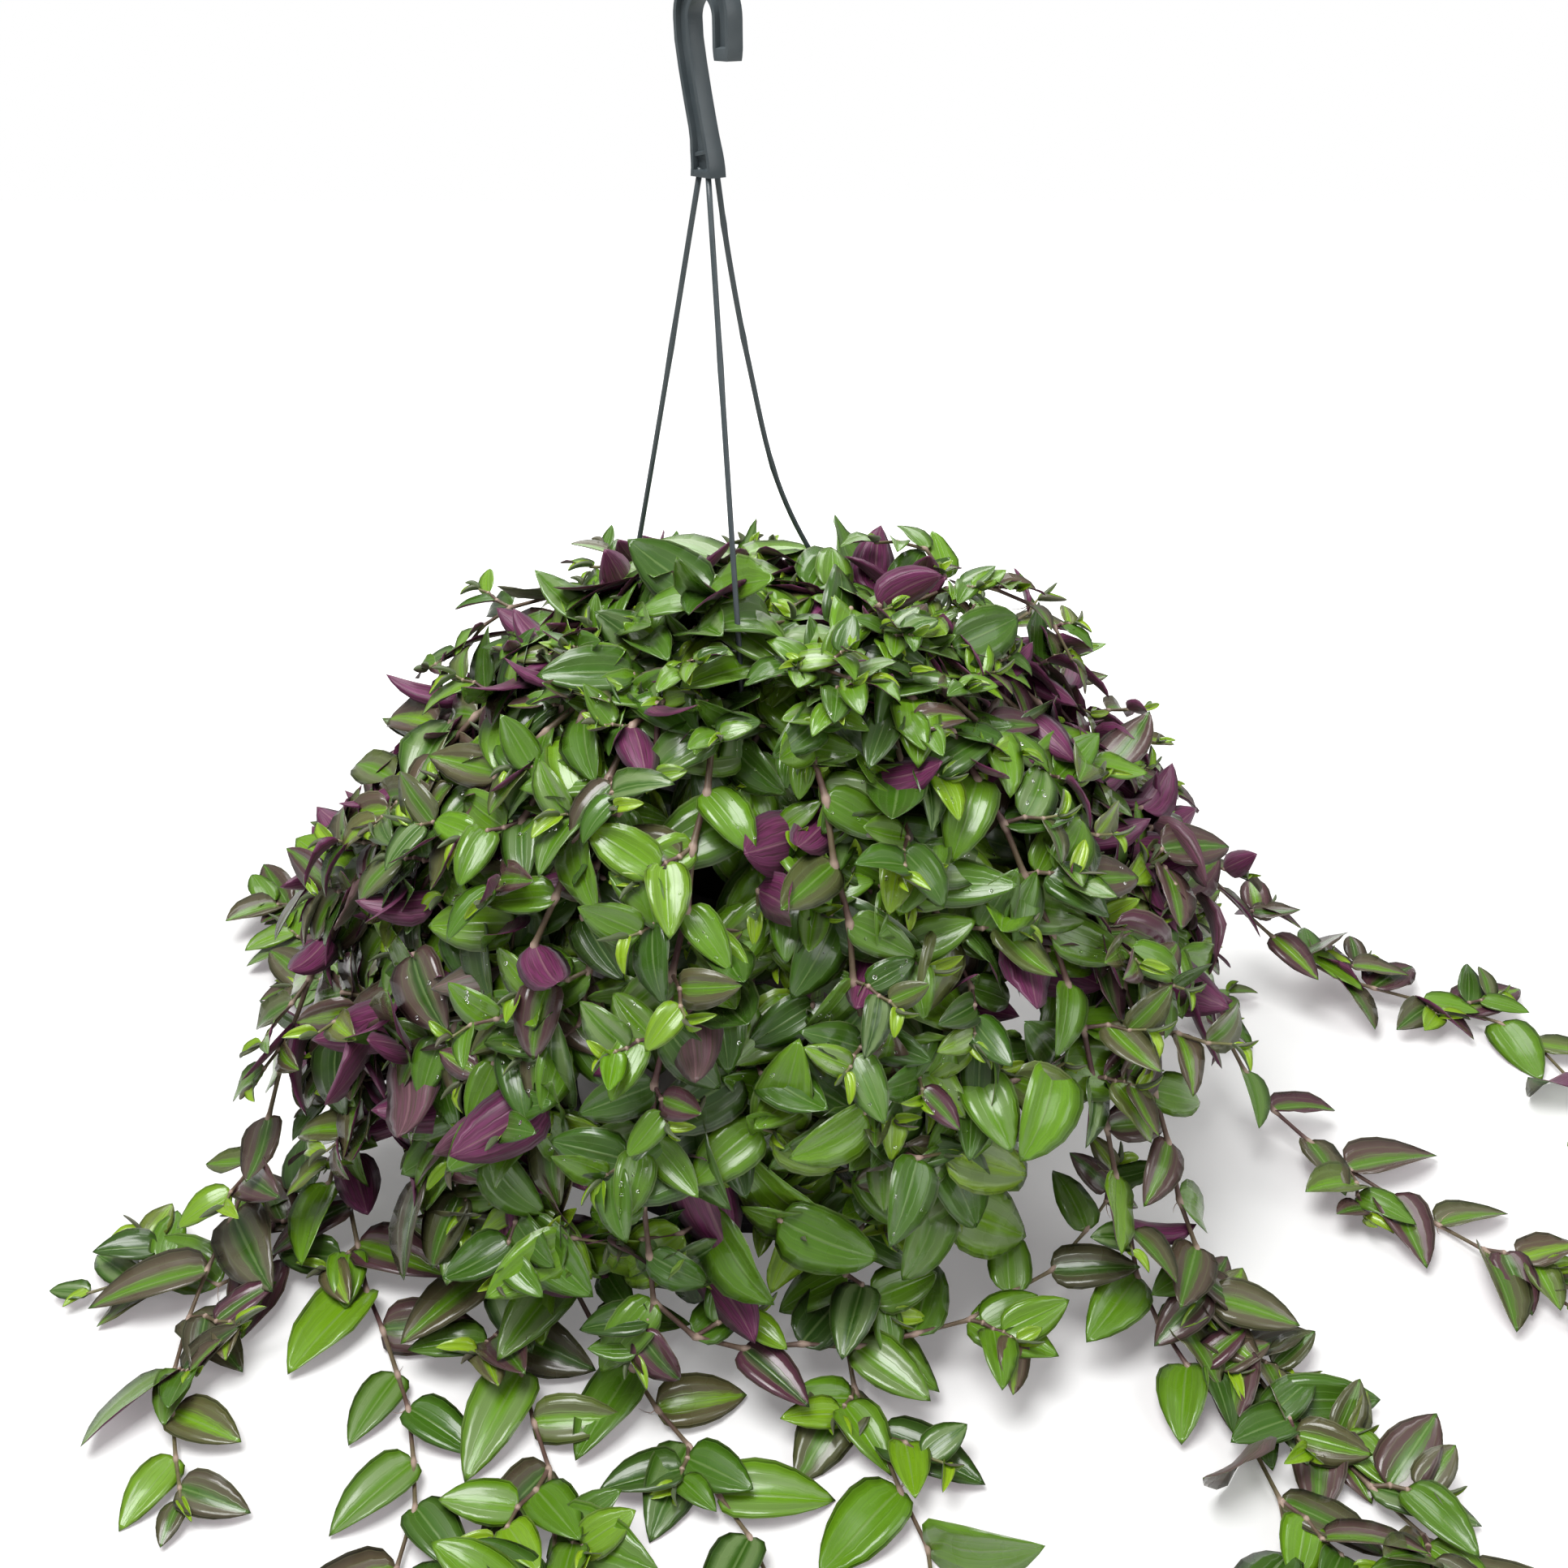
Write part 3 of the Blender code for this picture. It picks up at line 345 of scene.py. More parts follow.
def strand_routes(steps=5):
    """The centre line of each of the hanger's three strands, from the hook's foot to its clip."""
    routes = {}
    for name, degrees in CLIP_AZIMUTHS.items():
        angle = math.radians(degrees)
        clip = Vector((CLIP_RADIUS * math.cos(angle), CLIP_RADIUS * math.sin(angle), RIM_TOP + 0.001))
        start = HOOK_FOOT + Vector((0.0045 * math.cos(angle), 0.0035 * math.sin(angle), 0.004))
        middle = start.lerp(clip, 0.5)
        if name == "right":
            control = [start, Vector((-0.0085, 0.008, 0.556)), Vector((0.001, 0.020, 0.499)),
                       Vector((0.016, 0.032, 0.431)), Vector((0.041, 0.041, 0.376)), clip]
        else:
            control = [start, middle + Vector((0, 0, -0.003)), clip]
        drop = Vector((0, 0, CLIP_DEPTH / 2))
        routes[name] = catmull(control, steps) + [clip - drop, clip - 2 * drop]
    return routes


def grow_plant():
    """Every vine with its leaves, in the order they grow."""
    rng = random.Random(SEED)
    taken = [spot for route in strand_routes().values() for spot in samples(route)]
    vines = []
    for name, control in LED_ROUTES.items():
        kind = "crown" if name in SHORT_LED_VINES else "led"
        for attempt in range(TRIES):
            nudge = 0.0 if attempt == 0 else 0.0005 * attempt
            moved = [Vector(p) + Vector((rng.uniform(-nudge, nudge), rng.uniform(-nudge, nudge), 0))
                     for p in control]
            points = node_points(rng, moved, kind)
            if is_clear(points, taken):
                vines.append(Vine(name, kind, points))
                taken += samples(points)
                break
    low, high = (math.radians(degrees) for degrees in FLOOR_ARC)
    plan = [("crown", CROWN_VINES, 0, 2 * math.pi), ("floor", FLOOR_VINES, low, high - low),
            ("mound", MOUND_VINES, 0, 2 * math.pi)]
    for kind, count, first, arc in plan:
        for index in range(count):
            for attempt in range(TRIES):
                azimuth = first + arc * (index + 0.5) / count + rng.uniform(-0.22, 0.22)
                azimuth += 0.004 * attempt * rng.uniform(-1, 1)
                depth = (index * 0.382) % 1.0 if kind == "mound" else rng.uniform(0, 0.4)
                route = (crown_route(rng, azimuth) if kind == "crown"
                         else slope_route(rng, azimuth, kind, depth))
                points = node_points(rng, route, kind)
                if is_clear(points, taken):
                    vines.append(Vine(f"vine_{kind}_{index + 1:02d}", kind, points))
                    taken += samples(points)
                    break
    for vine in vines:
        side = rng.choice((-1, 1))
        for index in range(2, len(vine.points) - 1):
            vine.leaves.append(aim_leaf(rng, vine, index, side))
            side = -side
    return vines


# ------------------------------------------------------------------ shader writing

class Shader:
    """Writes one material's node tree."""

    def __init__(self, name: str) -> None:
        """Start a material with a Principled shader."""
        self.material = bpy.data.materials.new(name)
        self.material.use_nodes = True
        self.tree = self.material.node_tree
        self.principled = self.tree.nodes["Principled BSDF"]

    def add(self, kind: str, inputs: dict | None = None, **settings):
        """Add a node with its settings, and values or links for its inputs."""
        return add_node(self.tree, kind, inputs, **settings)

    def group(self, shared: bpy.types.NodeTree, inputs: dict | None = None):
        """Place a shared node group in the material."""
        return add_node(self.tree, "ShaderNodeGroup", inputs, node_tree=shared)

    def feed(self, socket: str, source) -> None:
        """Link a source to one of the Principled shader's sockets."""
        self.tree.links.new(source, self.principled.inputs[socket])

    def fix(self, **values) -> None:
        """Set plain values on the Principled shader, with spaces written as underscores."""
        for name, value in values.items():
            self.principled.inputs[name.replace("_", " ")].default_value = value


def add_node(tree: bpy.types.NodeTree, kind: str, inputs: dict | None = None, **settings):
    """Add a node to a tree, and set or link its inputs by name or number."""
    node = tree.nodes.new(kind)
    for name, value in settings.items():
        setattr(node, name, value)
    for name, value in (inputs or {}).items():
        if isinstance(value, bpy.types.NodeSocket):
            tree.links.new(value, node.inputs[name])
        else:
            node.inputs[name].default_value = value
    return node


def math_node(tree: bpy.types.NodeTree, operation: str, *values):
    """A Math node's output."""
    return add_node(tree, "ShaderNodeMath", dict(enumerate(values)), operation=operation).outputs[0]


def smooth_range(tree: bpy.types.NodeTree, value, low: float, high: float, start: float, end: float):
    """A smooth step of a value from one range to another."""
    node = add_node(tree, "ShaderNodeMapRange", {"Value": value, "From Min": low, "From Max": high,
                                                 "To Min": start, "To Max": end},
                    interpolation_type="SMOOTHSTEP")
    return node.outputs["Result"]


def mix_colours(tree: bpy.types.NodeTree, share, first, second):
    """Mix two colours by a share, each a socket or a plain colour."""
    node = add_node(tree, "ShaderNodeMix", data_type="RGBA")
    for index, value in ((0, share), (6, first), (7, second)):
        if isinstance(value, bpy.types.NodeSocket):
            tree.links.new(value, node.inputs[index])
        elif index == 0:
            node.inputs[0].default_value = value
        else:
            node.inputs[index].default_value = (*value, 1.0)
    return node.outputs[2]


def new_group(name: str, inputs: dict, outputs: dict) -> tuple:
    """Start a node group: its tree, its input node and its output node."""
    tree = bpy.data.node_groups.new(name, "ShaderNodeTree")
    for label, kind in inputs.items():
        tree.interface.new_socket(label, in_out="INPUT", socket_type=kind)
    for label, kind in outputs.items():
        tree.interface.new_socket(label, in_out="OUTPUT", socket_type=kind)
    return tree, tree.nodes.new("NodeGroupInput"), tree.nodes.new("NodeGroupOutput")


def leaf_lines_group() -> bpy.types.NodeTree:
    """Masks of a blade's midrib, its arching veins, its margin and its fine streaks, from its UV map."""
    tree, given, out = new_group(
        "BladeLines", {"UV": "NodeSocketVector"},
        {"Side": "NodeSocketFloat", "Along": "NodeSocketFloat", "Midrib": "NodeSocketFloat",
         "Veins": "NodeSocketFloat", "Margin": "NodeSocketFloat", "Streaks": "NodeSocketFloat"})
    parts = add_node(tree, "ShaderNodeSeparateXYZ", {0: given.outputs["UV"]})
    across = parts.outputs["X"]
    side = math_node(tree, "MULTIPLY", math_node(tree, "ABSOLUTE", math_node(tree, "SUBTRACT", across, 0.5)), 2.0)
    lanes = math_node(tree, "FRACT", math_node(tree, "ADD", math_node(tree, "MULTIPLY", side, 3.4), 0.5))
    off = math_node(tree, "ABSOLUTE", math_node(tree, "SUBTRACT", lanes, 0.5))
    streak_place = add_node(tree, "ShaderNodeVectorMath", {0: given.outputs["UV"], 1: (42.0, 2.4, 1.0)},
                            operation="MULTIPLY").outputs[0]
    streaks = add_node(tree, "ShaderNodeTexNoise", {"Vector": streak_place, "Scale": 1.0, "Detail": 3.0})
    for label, value in (("Side", side), ("Along", parts.outputs["Y"]),
                         ("Midrib", smooth_range(tree, side, 0.015, 0.075, 1.0, 0.0)),
                         ("Veins", smooth_range(tree, off, 0.0, 0.15, 1.0, 0.0)),
                         ("Margin", smooth_range(tree, side, 0.92, 0.99, 0.0, 1.0)),
                         ("Streaks", streaks.outputs["Fac"])):
        tree.links.new(value, out.inputs[label])
    return tree


def grain_group() -> bpy.types.NodeTree:
    """A fine moulded or fibrous grain on Object coordinates: a colour shift, a height and a roughness shift."""
    tree, given, out = new_group(
        "Grain", {"Scale": "NodeSocketFloat", "Stretch": "NodeSocketVector"},
        {"Fine": "NodeSocketFloat", "Broad": "NodeSocketFloat"})
    place = add_node(tree, "ShaderNodeTexCoord").outputs["Object"]
    stretched = add_node(tree, "ShaderNodeVectorMath", {0: place, 1: given.outputs["Stretch"]},
                         operation="MULTIPLY").outputs[0]
    fine = add_node(tree, "ShaderNodeTexNoise", {"Vector": stretched, "Scale": given.outputs["Scale"],
                                                 "Detail": 4.0, "Roughness": 0.6})
    broad_scale = math_node(tree, "MULTIPLY", given.outputs["Scale"], 0.06)
    broad = add_node(tree, "ShaderNodeTexNoise", {"Vector": stretched, "Scale": broad_scale, "Detail": 2.0})
    tree.links.new(fine.outputs["Fac"], out.inputs["Fine"])
    tree.links.new(broad.outputs["Fac"], out.inputs["Broad"])
    return tree


LEAF_LINES = leaf_lines_group()
GRAIN = grain_group()


def attribute(shader: Shader, name: str):
    """The value of a float attribute of the mesh."""
    return shader.add("ShaderNodeAttribute", attribute_name=name).outputs["Fac"]


@dataclass(frozen=True)
class BladeTop:
    """The glossy green upper side of a leaf, with paler ribs, silver bands and purple bloom."""

    dark: tuple = (0.018, 0.054, 0.006)
    middle: tuple = (0.058, 0.165, 0.007)
    bright: tuple = (0.165, 0.370, 0.008)
    lime: tuple = (0.360, 0.560, 0.020)
    silver: tuple = (0.230, 0.340, 0.130)
    plum: tuple = (0.105, 0.036, 0.056)
    roughness: float = 0.27

    def make(self) -> bpy.types.Material:
        """The finished material."""
        shader = Shader("leaf_upper_side")
        tree = shader.tree
        uv = shader.add("ShaderNodeUVMap", uv_map="blade").outputs["UV"]
        lines = shader.group(LEAF_LINES, {"UV": uv})
        ramp = shader.add("ShaderNodeValToRGB", {"Fac": attribute(shader, "tone")})
        stops = ramp.color_ramp.elements
        stops[0].color = (*self.dark, 1.0)
        stops[1].color = (*self.lime, 1.0)
        for place, colour in ((0.38, self.middle), (0.74, self.bright)):
            stops.new(place).color = (*colour, 1.0)
        grain = shader.group(GRAIN, {"Scale": 900.0, "Stretch": (1.0, 1.0, 1.0)})
        mottled = mix_colours(tree, smooth_range(tree, lines.outputs["Streaks"], 0.35, 0.7, 0.0, 0.22),
                              ramp.outputs["Color"], self.dark)
        side = lines.outputs["Side"]
        band = math_node(tree, "MULTIPLY", smooth_range(tree, side, 0.10, 0.38, 0.0, 1.0),
                         smooth_range(tree, side, 0.52, 0.86, 1.0, 0.0))
        silver = math_node(tree, "MULTIPLY", band, attribute(shader, "silver"))
        silvered = mix_colours(tree, silver, mottled, self.silver)
        spread = math_node(tree, "ADD", side, math_node(tree, "MULTIPLY", lines.outputs["Streaks"], 0.55))
        bloom = math_node(tree, "MULTIPLY", smooth_range(tree, spread, 0.34, 0.72, 0.0, 1.0),
                          attribute(shader, "purple"))
        bloomed = mix_colours(tree, bloom, silvered, self.plum)
        ribs = math_node(tree, "MAXIMUM", math_node(tree, "MULTIPLY", lines.outputs["Midrib"], 0.42),
                         math_node(tree, "MULTIPLY", lines.outputs["Veins"], 0.10))
        ribbed = mix_colours(tree, ribs, bloomed, (0.260, 0.380, 0.130))
        edged = mix_colours(tree, math_node(tree, "MULTIPLY", lines.outputs["Margin"], 0.38), ribbed,
                            (0.300, 0.330, 0.170))
        shader.feed("Base Color", edged)
        shader.feed("Roughness", smooth_range(tree, grain.outputs["Broad"], 0.3, 0.7,
                                              self.roughness - 0.06, self.roughness + 0.12))
        height = math_node(tree, "SUBTRACT", math_node(tree, "MULTIPLY", grain.outputs["Fine"], 0.12),
                           math_node(tree, "ADD", math_node(tree, "MULTIPLY", lines.outputs["Veins"], 0.45),
                                     lines.outputs["Midrib"]))
        bump = shader.add("ShaderNodeBump", {"Height": height, "Strength": 0.35, "Distance": 0.0006})
        shader.feed("Normal", bump.outputs["Normal"])
        shader.fix(Coat_Weight=0.55, Coat_Roughness=0.13, Specular_IOR_Level=0.5)
        return shader.material


@dataclass(frozen=True)
class BladeUnder:
    """The purple underside of a leaf, with a paler midrib and a green cast on young leaves."""

    deep: tuple = (0.070, 0.010, 0.032)
    plum: tuple = (0.200, 0.028, 0.120)
    green: tuple = (0.100, 0.170, 0.055)

    def make(self) -> bpy.types.Material:
        """The finished material."""
        shader = Shader("leaf_underside")
        tree = shader.tree
        uv = shader.add("ShaderNodeUVMap", uv_map="blade").outputs["UV"]
        lines = shader.group(LEAF_LINES, {"UV": uv})
        plum = mix_colours(tree, smooth_range(tree, lines.outputs["Streaks"], 0.3, 0.7, 0.0, 1.0),
                           self.deep, self.plum)
        young = smooth_range(tree, attribute(shader, "tone"), 0.66, 0.95, 0.0, 0.85)
        aged = mix_colours(tree, young, plum, self.green)
        ribs = math_node(tree, "MAXIMUM", math_node(tree, "MULTIPLY", lines.outputs["Midrib"], 0.5),
                         math_node(tree, "MULTIPLY", lines.outputs["Veins"], 0.14))
        shader.feed("Base Color", mix_colours(tree, ribs, aged, (0.330, 0.170, 0.200)))
        bump = shader.add("ShaderNodeBump", {"Height": lines.outputs["Veins"], "Strength": 0.3,
                                             "Distance": 0.0004})
        shader.feed("Normal", bump.outputs["Normal"])
        shader.fix(Roughness=0.42, Sheen_Weight=0.15)
        return shader.material


@dataclass(frozen=True)
class StemSkin:
    """Brown-olive stem, pinkish and green when young, with pale papery collars at its nodes."""

    olive: tuple = (0.150, 0.115, 0.062)
    purple: tuple = (0.105, 0.045, 0.045)
    young: tuple = (0.230, 0.260, 0.080)
    collar: tuple = (0.480, 0.350, 0.280)

    def make(self) -> bpy.types.Material:
        """The finished material."""
        shader = Shader("stem_skin")
        tree = shader.tree
        grain = shader.group(GRAIN, {"Scale": 420.0, "Stretch": (1.0, 1.0, 0.25)})
        old = mix_colours(tree, smooth_range(tree, grain.outputs["Broad"], 0.36, 0.64, 0.0, 1.0),
                          self.olive, self.purple)
        aged = mix_colours(tree, attribute(shader, "young"), old, self.young)
        flecked = mix_colours(tree, smooth_range(tree, grain.outputs["Fine"], 0.5, 0.72, 0.0, 0.35),
                              aged, (0.060, 0.030, 0.022))
        shader.feed("Base Color", mix_colours(tree, attribute(shader, "collar"), flecked, self.collar))
        shader.feed("Roughness", smooth_range(tree, grain.outputs["Fine"], 0.3, 0.7, 0.38, 0.6))
        bump = shader.add("ShaderNodeBump", {"Height": grain.outputs["Fine"], "Strength": 0.35,
                                             "Distance": 0.0004})
        shader.feed("Normal", bump.outputs["Normal"])
        return shader.material


@dataclass(frozen=True)
class Moulded:
    """Moulded plastic or rubber: a base colour with faint cloudiness, grain and rubbed patches."""

    name: str
    colour: tuple
    rubbed: tuple
    roughness: float
    scale: float = 700.0

    def make(self) -> bpy.types.Material:
        """The finished material."""
        shader = Shader(self.name)
        tree = shader.tree
        grain = shader.group(GRAIN, {"Scale": self.scale, "Stretch": (1.0, 1.0, 1.0)})
        clouded = mix_colours(tree, smooth_range(tree, grain.outputs["Broad"], 0.4, 0.75, 0.0, 0.45),
                              self.colour, self.rubbed)
        shader.feed("Base Color", clouded)
        shader.feed("Roughness", smooth_range(tree, grain.outputs["Broad"], 0.3, 0.7,
                                              self.roughness - 0.06, self.roughness + 0.08))
        bump = shader.add("ShaderNodeBump", {"Height": grain.outputs["Fine"], "Strength": 0.22,
                                             "Distance": 0.0003})
        shader.feed("Normal", bump.outputs["Normal"])
        return shader.material


@dataclass(frozen=True)
class PottingSoil:
    """Dark crumbly soil with pale specks."""

    dark: tuple = (0.018, 0.010, 0.006)
    brown: tuple = (0.060, 0.036, 0.021)
    speck: tuple = (0.420, 0.400, 0.360)

    def make(self) -> bpy.types.Material:
        """The finished material."""
        shader = Shader("potting_soil")
        tree = shader.tree
        grain = shader.group(GRAIN, {"Scale": 380.0, "Stretch": (1.0, 1.0, 1.0)})
        crumbs = mix_colours(tree, smooth_range(tree, grain.outputs["Fine"], 0.35, 0.65, 0.0, 1.0),
                             self.dark, self.brown)
        cells = shader.add("ShaderNodeTexVoronoi", {
            "Vector": shader.add("ShaderNodeTexCoord").outputs["Object"], "Scale": 260.0})
        specks = smooth_range(tree, cells.outputs["Distance"], 0.10, 0.16, 1.0, 0.0)
        shader.feed("Base Color", mix_colours(tree, math_node(tree, "MULTIPLY", specks, 0.8), crumbs, self.speck))
        bump = shader.add("ShaderNodeBump", {"Height": grain.outputs["Fine"], "Strength": 0.9, "Distance": 0.002})
        shader.feed("Normal", bump.outputs["Normal"])
        shader.fix(Roughness=0.92)
        return shader.material


def make_water() -> bpy.types.Material:
    """Clear water for the drops on the leaves."""
    shader = Shader("water_drop")
    shader.fix(Base_Color=(1.0, 1.0, 1.0, 1.0), Roughness=0.02, IOR=1.33, Transmission_Weight=1.0)
    return shader.material


# ------------------------------------------------------------------ mesh gathering

@dataclass
class MeshStore:
    """Gathers the vertices, faces and surface values of one piece."""

    verts: list = field(default_factory=list)
    faces: list = field(default_factory=list)
    slots: list = field(default_factory=list)
    uvs: list = field(default_factory=list)
    values: dict = field(default_factory=dict)

    def add(self, verts: list, faces: list, slots: list, uvs: list, **values: list) -> None:
        """Add a closed shape with a material slot for each face, a UV for each vertex and attribute values."""
        first = len(self.verts)
        self.verts += verts
        self.faces += [tuple(first + corner for corner in face) for face in faces]
        self.slots += slots
        self.uvs += uvs
        for name, numbers in values.items():
            self.values.setdefault(name, [0.0] * first).extend(numbers)
        for name in self.values:
            short = len(self.verts) - len(self.values[name])
            self.values[name].extend([0.0] * short)

    def make(self, name: str, materials: list) -> bpy.types.Object:
        """The finished, smooth-shaded object."""
        mesh = bpy.data.meshes.new(name)
        mesh.from_pydata([tuple(v) for v in self.verts], [], self.faces)
        for material in materials:
            mesh.materials.append(material)
        mesh.polygons.foreach_set("material_index", self.slots)
        mesh.shade_smooth()
        layer = mesh.uv_layers.new(name="blade")
        corners = [0] * len(mesh.loops)
        mesh.loops.foreach_get("vertex_index", corners)
        layer.data.foreach_set("uv", [number for corner in corners for number in self.uvs[corner]])
        for label, numbers in self.values.items():
            mesh.attributes.new(label, "FLOAT", "POINT").data.foreach_set("value", numbers)
        made = bpy.data.objects.new(name, mesh)
        bpy.context.scene.collection.objects.link(made)
        return made


def place(piece: bpy.types.Object, slot: str, *nodes: str) -> bpy.types.Object:
    """Fix a finished piece to the frame and report it."""
    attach(piece, BODY)
    if nodes:
        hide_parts(*nodes)
    log.info("made %s: %d faces", piece.name, len(piece.data.polygons))
    return piece


# ------------------------------------------------------------------ leaves, stems and shoots

class Age(Enum):
    """How far a leaf has grown."""

    NEW = "new"
    YOUNG = "young"
    GROWN = "grown"


BLADE_STATIONS = (0.0, 0.05, 0.15, 0.30, 0.47, 0.64, 0.80, 0.92)
BLADE_WIDTHS = (0.28, 0.68, 0.93, 1.0, 0.95, 0.79, 0.52, 0.24)
BLADE_LANES = (-1.0, -0.5, 0.0, 0.5, 1.0)
BLADE_THICKNESS = 0.0005
SURFACE = 0.0006


@dataclass
class Blade:
    """One leaf as it is modelled: its frame, its bend and fold, and its colouring."""

    leaf: Leaf
    bend: float
    fold: float
    wave: float
    twist: float
    tone: float
    purple: float
    silver: float

    def spot(self, along: float, lane: float, width: float) -> tuple:
        """A point of the upper side and its normal.

        Args:
            along: share of the leaf's length, 0 at the stem.
            lane: place across the leaf, from -1 at one edge to 1 at the other.
            width: half-width there, as a share of the widest.

        Returns:
            The point and the unit normal of the upper side, as vectors.
        """
        leaf = self.leaf
        turn = self.bend * along
        arc = leaf.length / self.bend
        centre = leaf.base + leaf.along * (arc * math.sin(turn)) - leaf.face * (arc * (1 - math.cos(turn)))
        face = leaf.face * math.cos(turn) + leaf.along * math.sin(turn)
        across = leaf.face.cross(leaf.along)
        roll = self.twist * along
        across, face = (across * math.cos(roll) + face * math.sin(roll),
                        face * math.cos(roll) - across * math.sin(roll))
        angle = self.fold * (0.55 + 0.45 * abs(lane))
        half = leaf.half_width * width
        ripple = self.wave * half * abs(lane) * math.sin(9.0 * along + 3.0 * lane + 20.0 * self.twist)
        point = centre + across * (half * lane * math.cos(angle)) + face * (half * abs(lane) * math.sin(angle)
                                                                           + ripple)
        normal = (face * math.cos(angle) - across * (math.copysign(1.0, lane) * math.sin(angle))
                  if lane else face)
        return point, normal

    def add_to(self, store: MeshStore) -> None:
        """Add the leaf to a piece as a thin closed blade."""
        verts, uvs, faces, slots = [], [], [], []
        lanes = len(BLADE_LANES)
        rows = len(BLADE_STATIONS)
        for along, width in zip(BLADE_STATIONS, BLADE_WIDTHS):
            for lane in BLADE_LANES:
                verts.append(self.spot(along, lane, width)[0])
                uvs.append((0.5 + 0.5 * lane, along))
        tip = len(verts)
        verts.append(self.spot(1.0, 0.0, 0.0)[0])
        uvs.append((0.5, 1.0))
        under = []
        for row, (along, width) in enumerate(zip(BLADE_STATIONS, BLADE_WIDTHS)):
            first = row * lanes
            ring = [first]
            for lane in BLADE_LANES[1:-1]:
                point, normal = self.spot(along, lane, width)
                ring.append(len(verts))
                verts.append(point - normal * BLADE_THICKNESS * (1.0 - 0.6 * abs(lane)))
                uvs.append((0.5 + 0.5 * lane, along))
            under.append(ring + [first + lanes - 1])
        upper = [list(range(row * lanes, (row + 1) * lanes)) for row in range(rows)]
        for ring, slot, flip in ((upper, 0, False), (under, 1, True)):
            sheet = []
            for low, high in zip(ring, ring[1:]):
                for k in range(lanes - 1):
                    sheet += [(low[k], low[k + 1], high[k + 1]), (low[k], high[k + 1], high[k])]
            sheet += [(ring[-1][k], ring[-1][k + 1], tip) for k in range(lanes - 1)]
            faces += [face[::-1] for face in sheet] if flip else sheet
            slots += [slot] * len(sheet)
        faces.append(tuple(under[0] + upper[0][-2:0:-1]))
        slots.append(1)
        for row in [upper_row + under_row for upper_row, under_row in zip(upper, under)] + [[tip]]:
            corners = set(row)
            lift = max(0.0, SURFACE - min(verts[corner].z for corner in corners))
            for corner in corners:
                verts[corner].z += lift
        count = len(verts)
        store.add(verts, faces, slots, uvs, tone=[self.tone] * count, purple=[self.purple] * count,
                  silver=[self.silver] * count)


def colour_of(rng: random.Random, spot: Vector, age: Age) -> tuple:
    """A leaf's tone, purple bloom and silver banding, from its place and age.

    Args:
        rng: the plant's random numbers.
        spot: where the leaf joins its stem.
        age: how far it has grown.

    Returns:
        (tone, purple, silver), each from 0 to 1.
    """
    if age is Age.NEW:
        return rng.uniform(0.84, 1.0), 0.0, 0.0
    side = min(1.0, abs(spot.x) / 0.26)
    low = 1.0 if spot.z < 0.06 else 0.0
    tone = rng.betavariate(2.6, 2.0) * 0.86
    if age is Age.YOUNG:
        tone = min(0.88, tone + 0.12)
    outer = max(side ** 2, 0.6 * low * side)
    purple = rng.uniform(0.5, 1.0) if rng.random() < 0.05 + 0.6 * outer else rng.uniform(0.0, 0.1)
    silver = rng.uniform(0.35, 0.85) if rng.random() < 0.3 else rng.uniform(0.0, 0.15)
    return tone, purple, silver


def dress_leaf(rng: random.Random, leaf: Leaf, age: Age) -> Blade:
    """Give a leaf its bend, fold and colouring."""
    tone, purple, silver = colour_of(rng, leaf.base, age)
    bend = rng.uniform(0.25, 1.05)
    if rng.random() < 0.16:
        bend = -rng.uniform(0.25, 0.6)
    if leaf.base.z < 0.05:
        bend = rng.uniform(0.15, 0.5)
    fold = rng.uniform(0.12, 0.42) if age is not Age.NEW else rng.uniform(0.6, 1.1)
    return Blade(leaf, bend, fold, rng.uniform(0.0, 0.14), rng.uniform(-0.35, 0.35), tone, purple, silver)


STEM_SIDES = 8
STEM_STEPS = ((0.0, 1.46, 0.9), (0.05, 1.42, 1.0), (0.13, 1.14, 0.75), (0.19, 1.02, 0.10), (0.5, 0.97, 0.0),
              (0.80, 1.02, 0.0), (0.93, 1.16, 0.25))


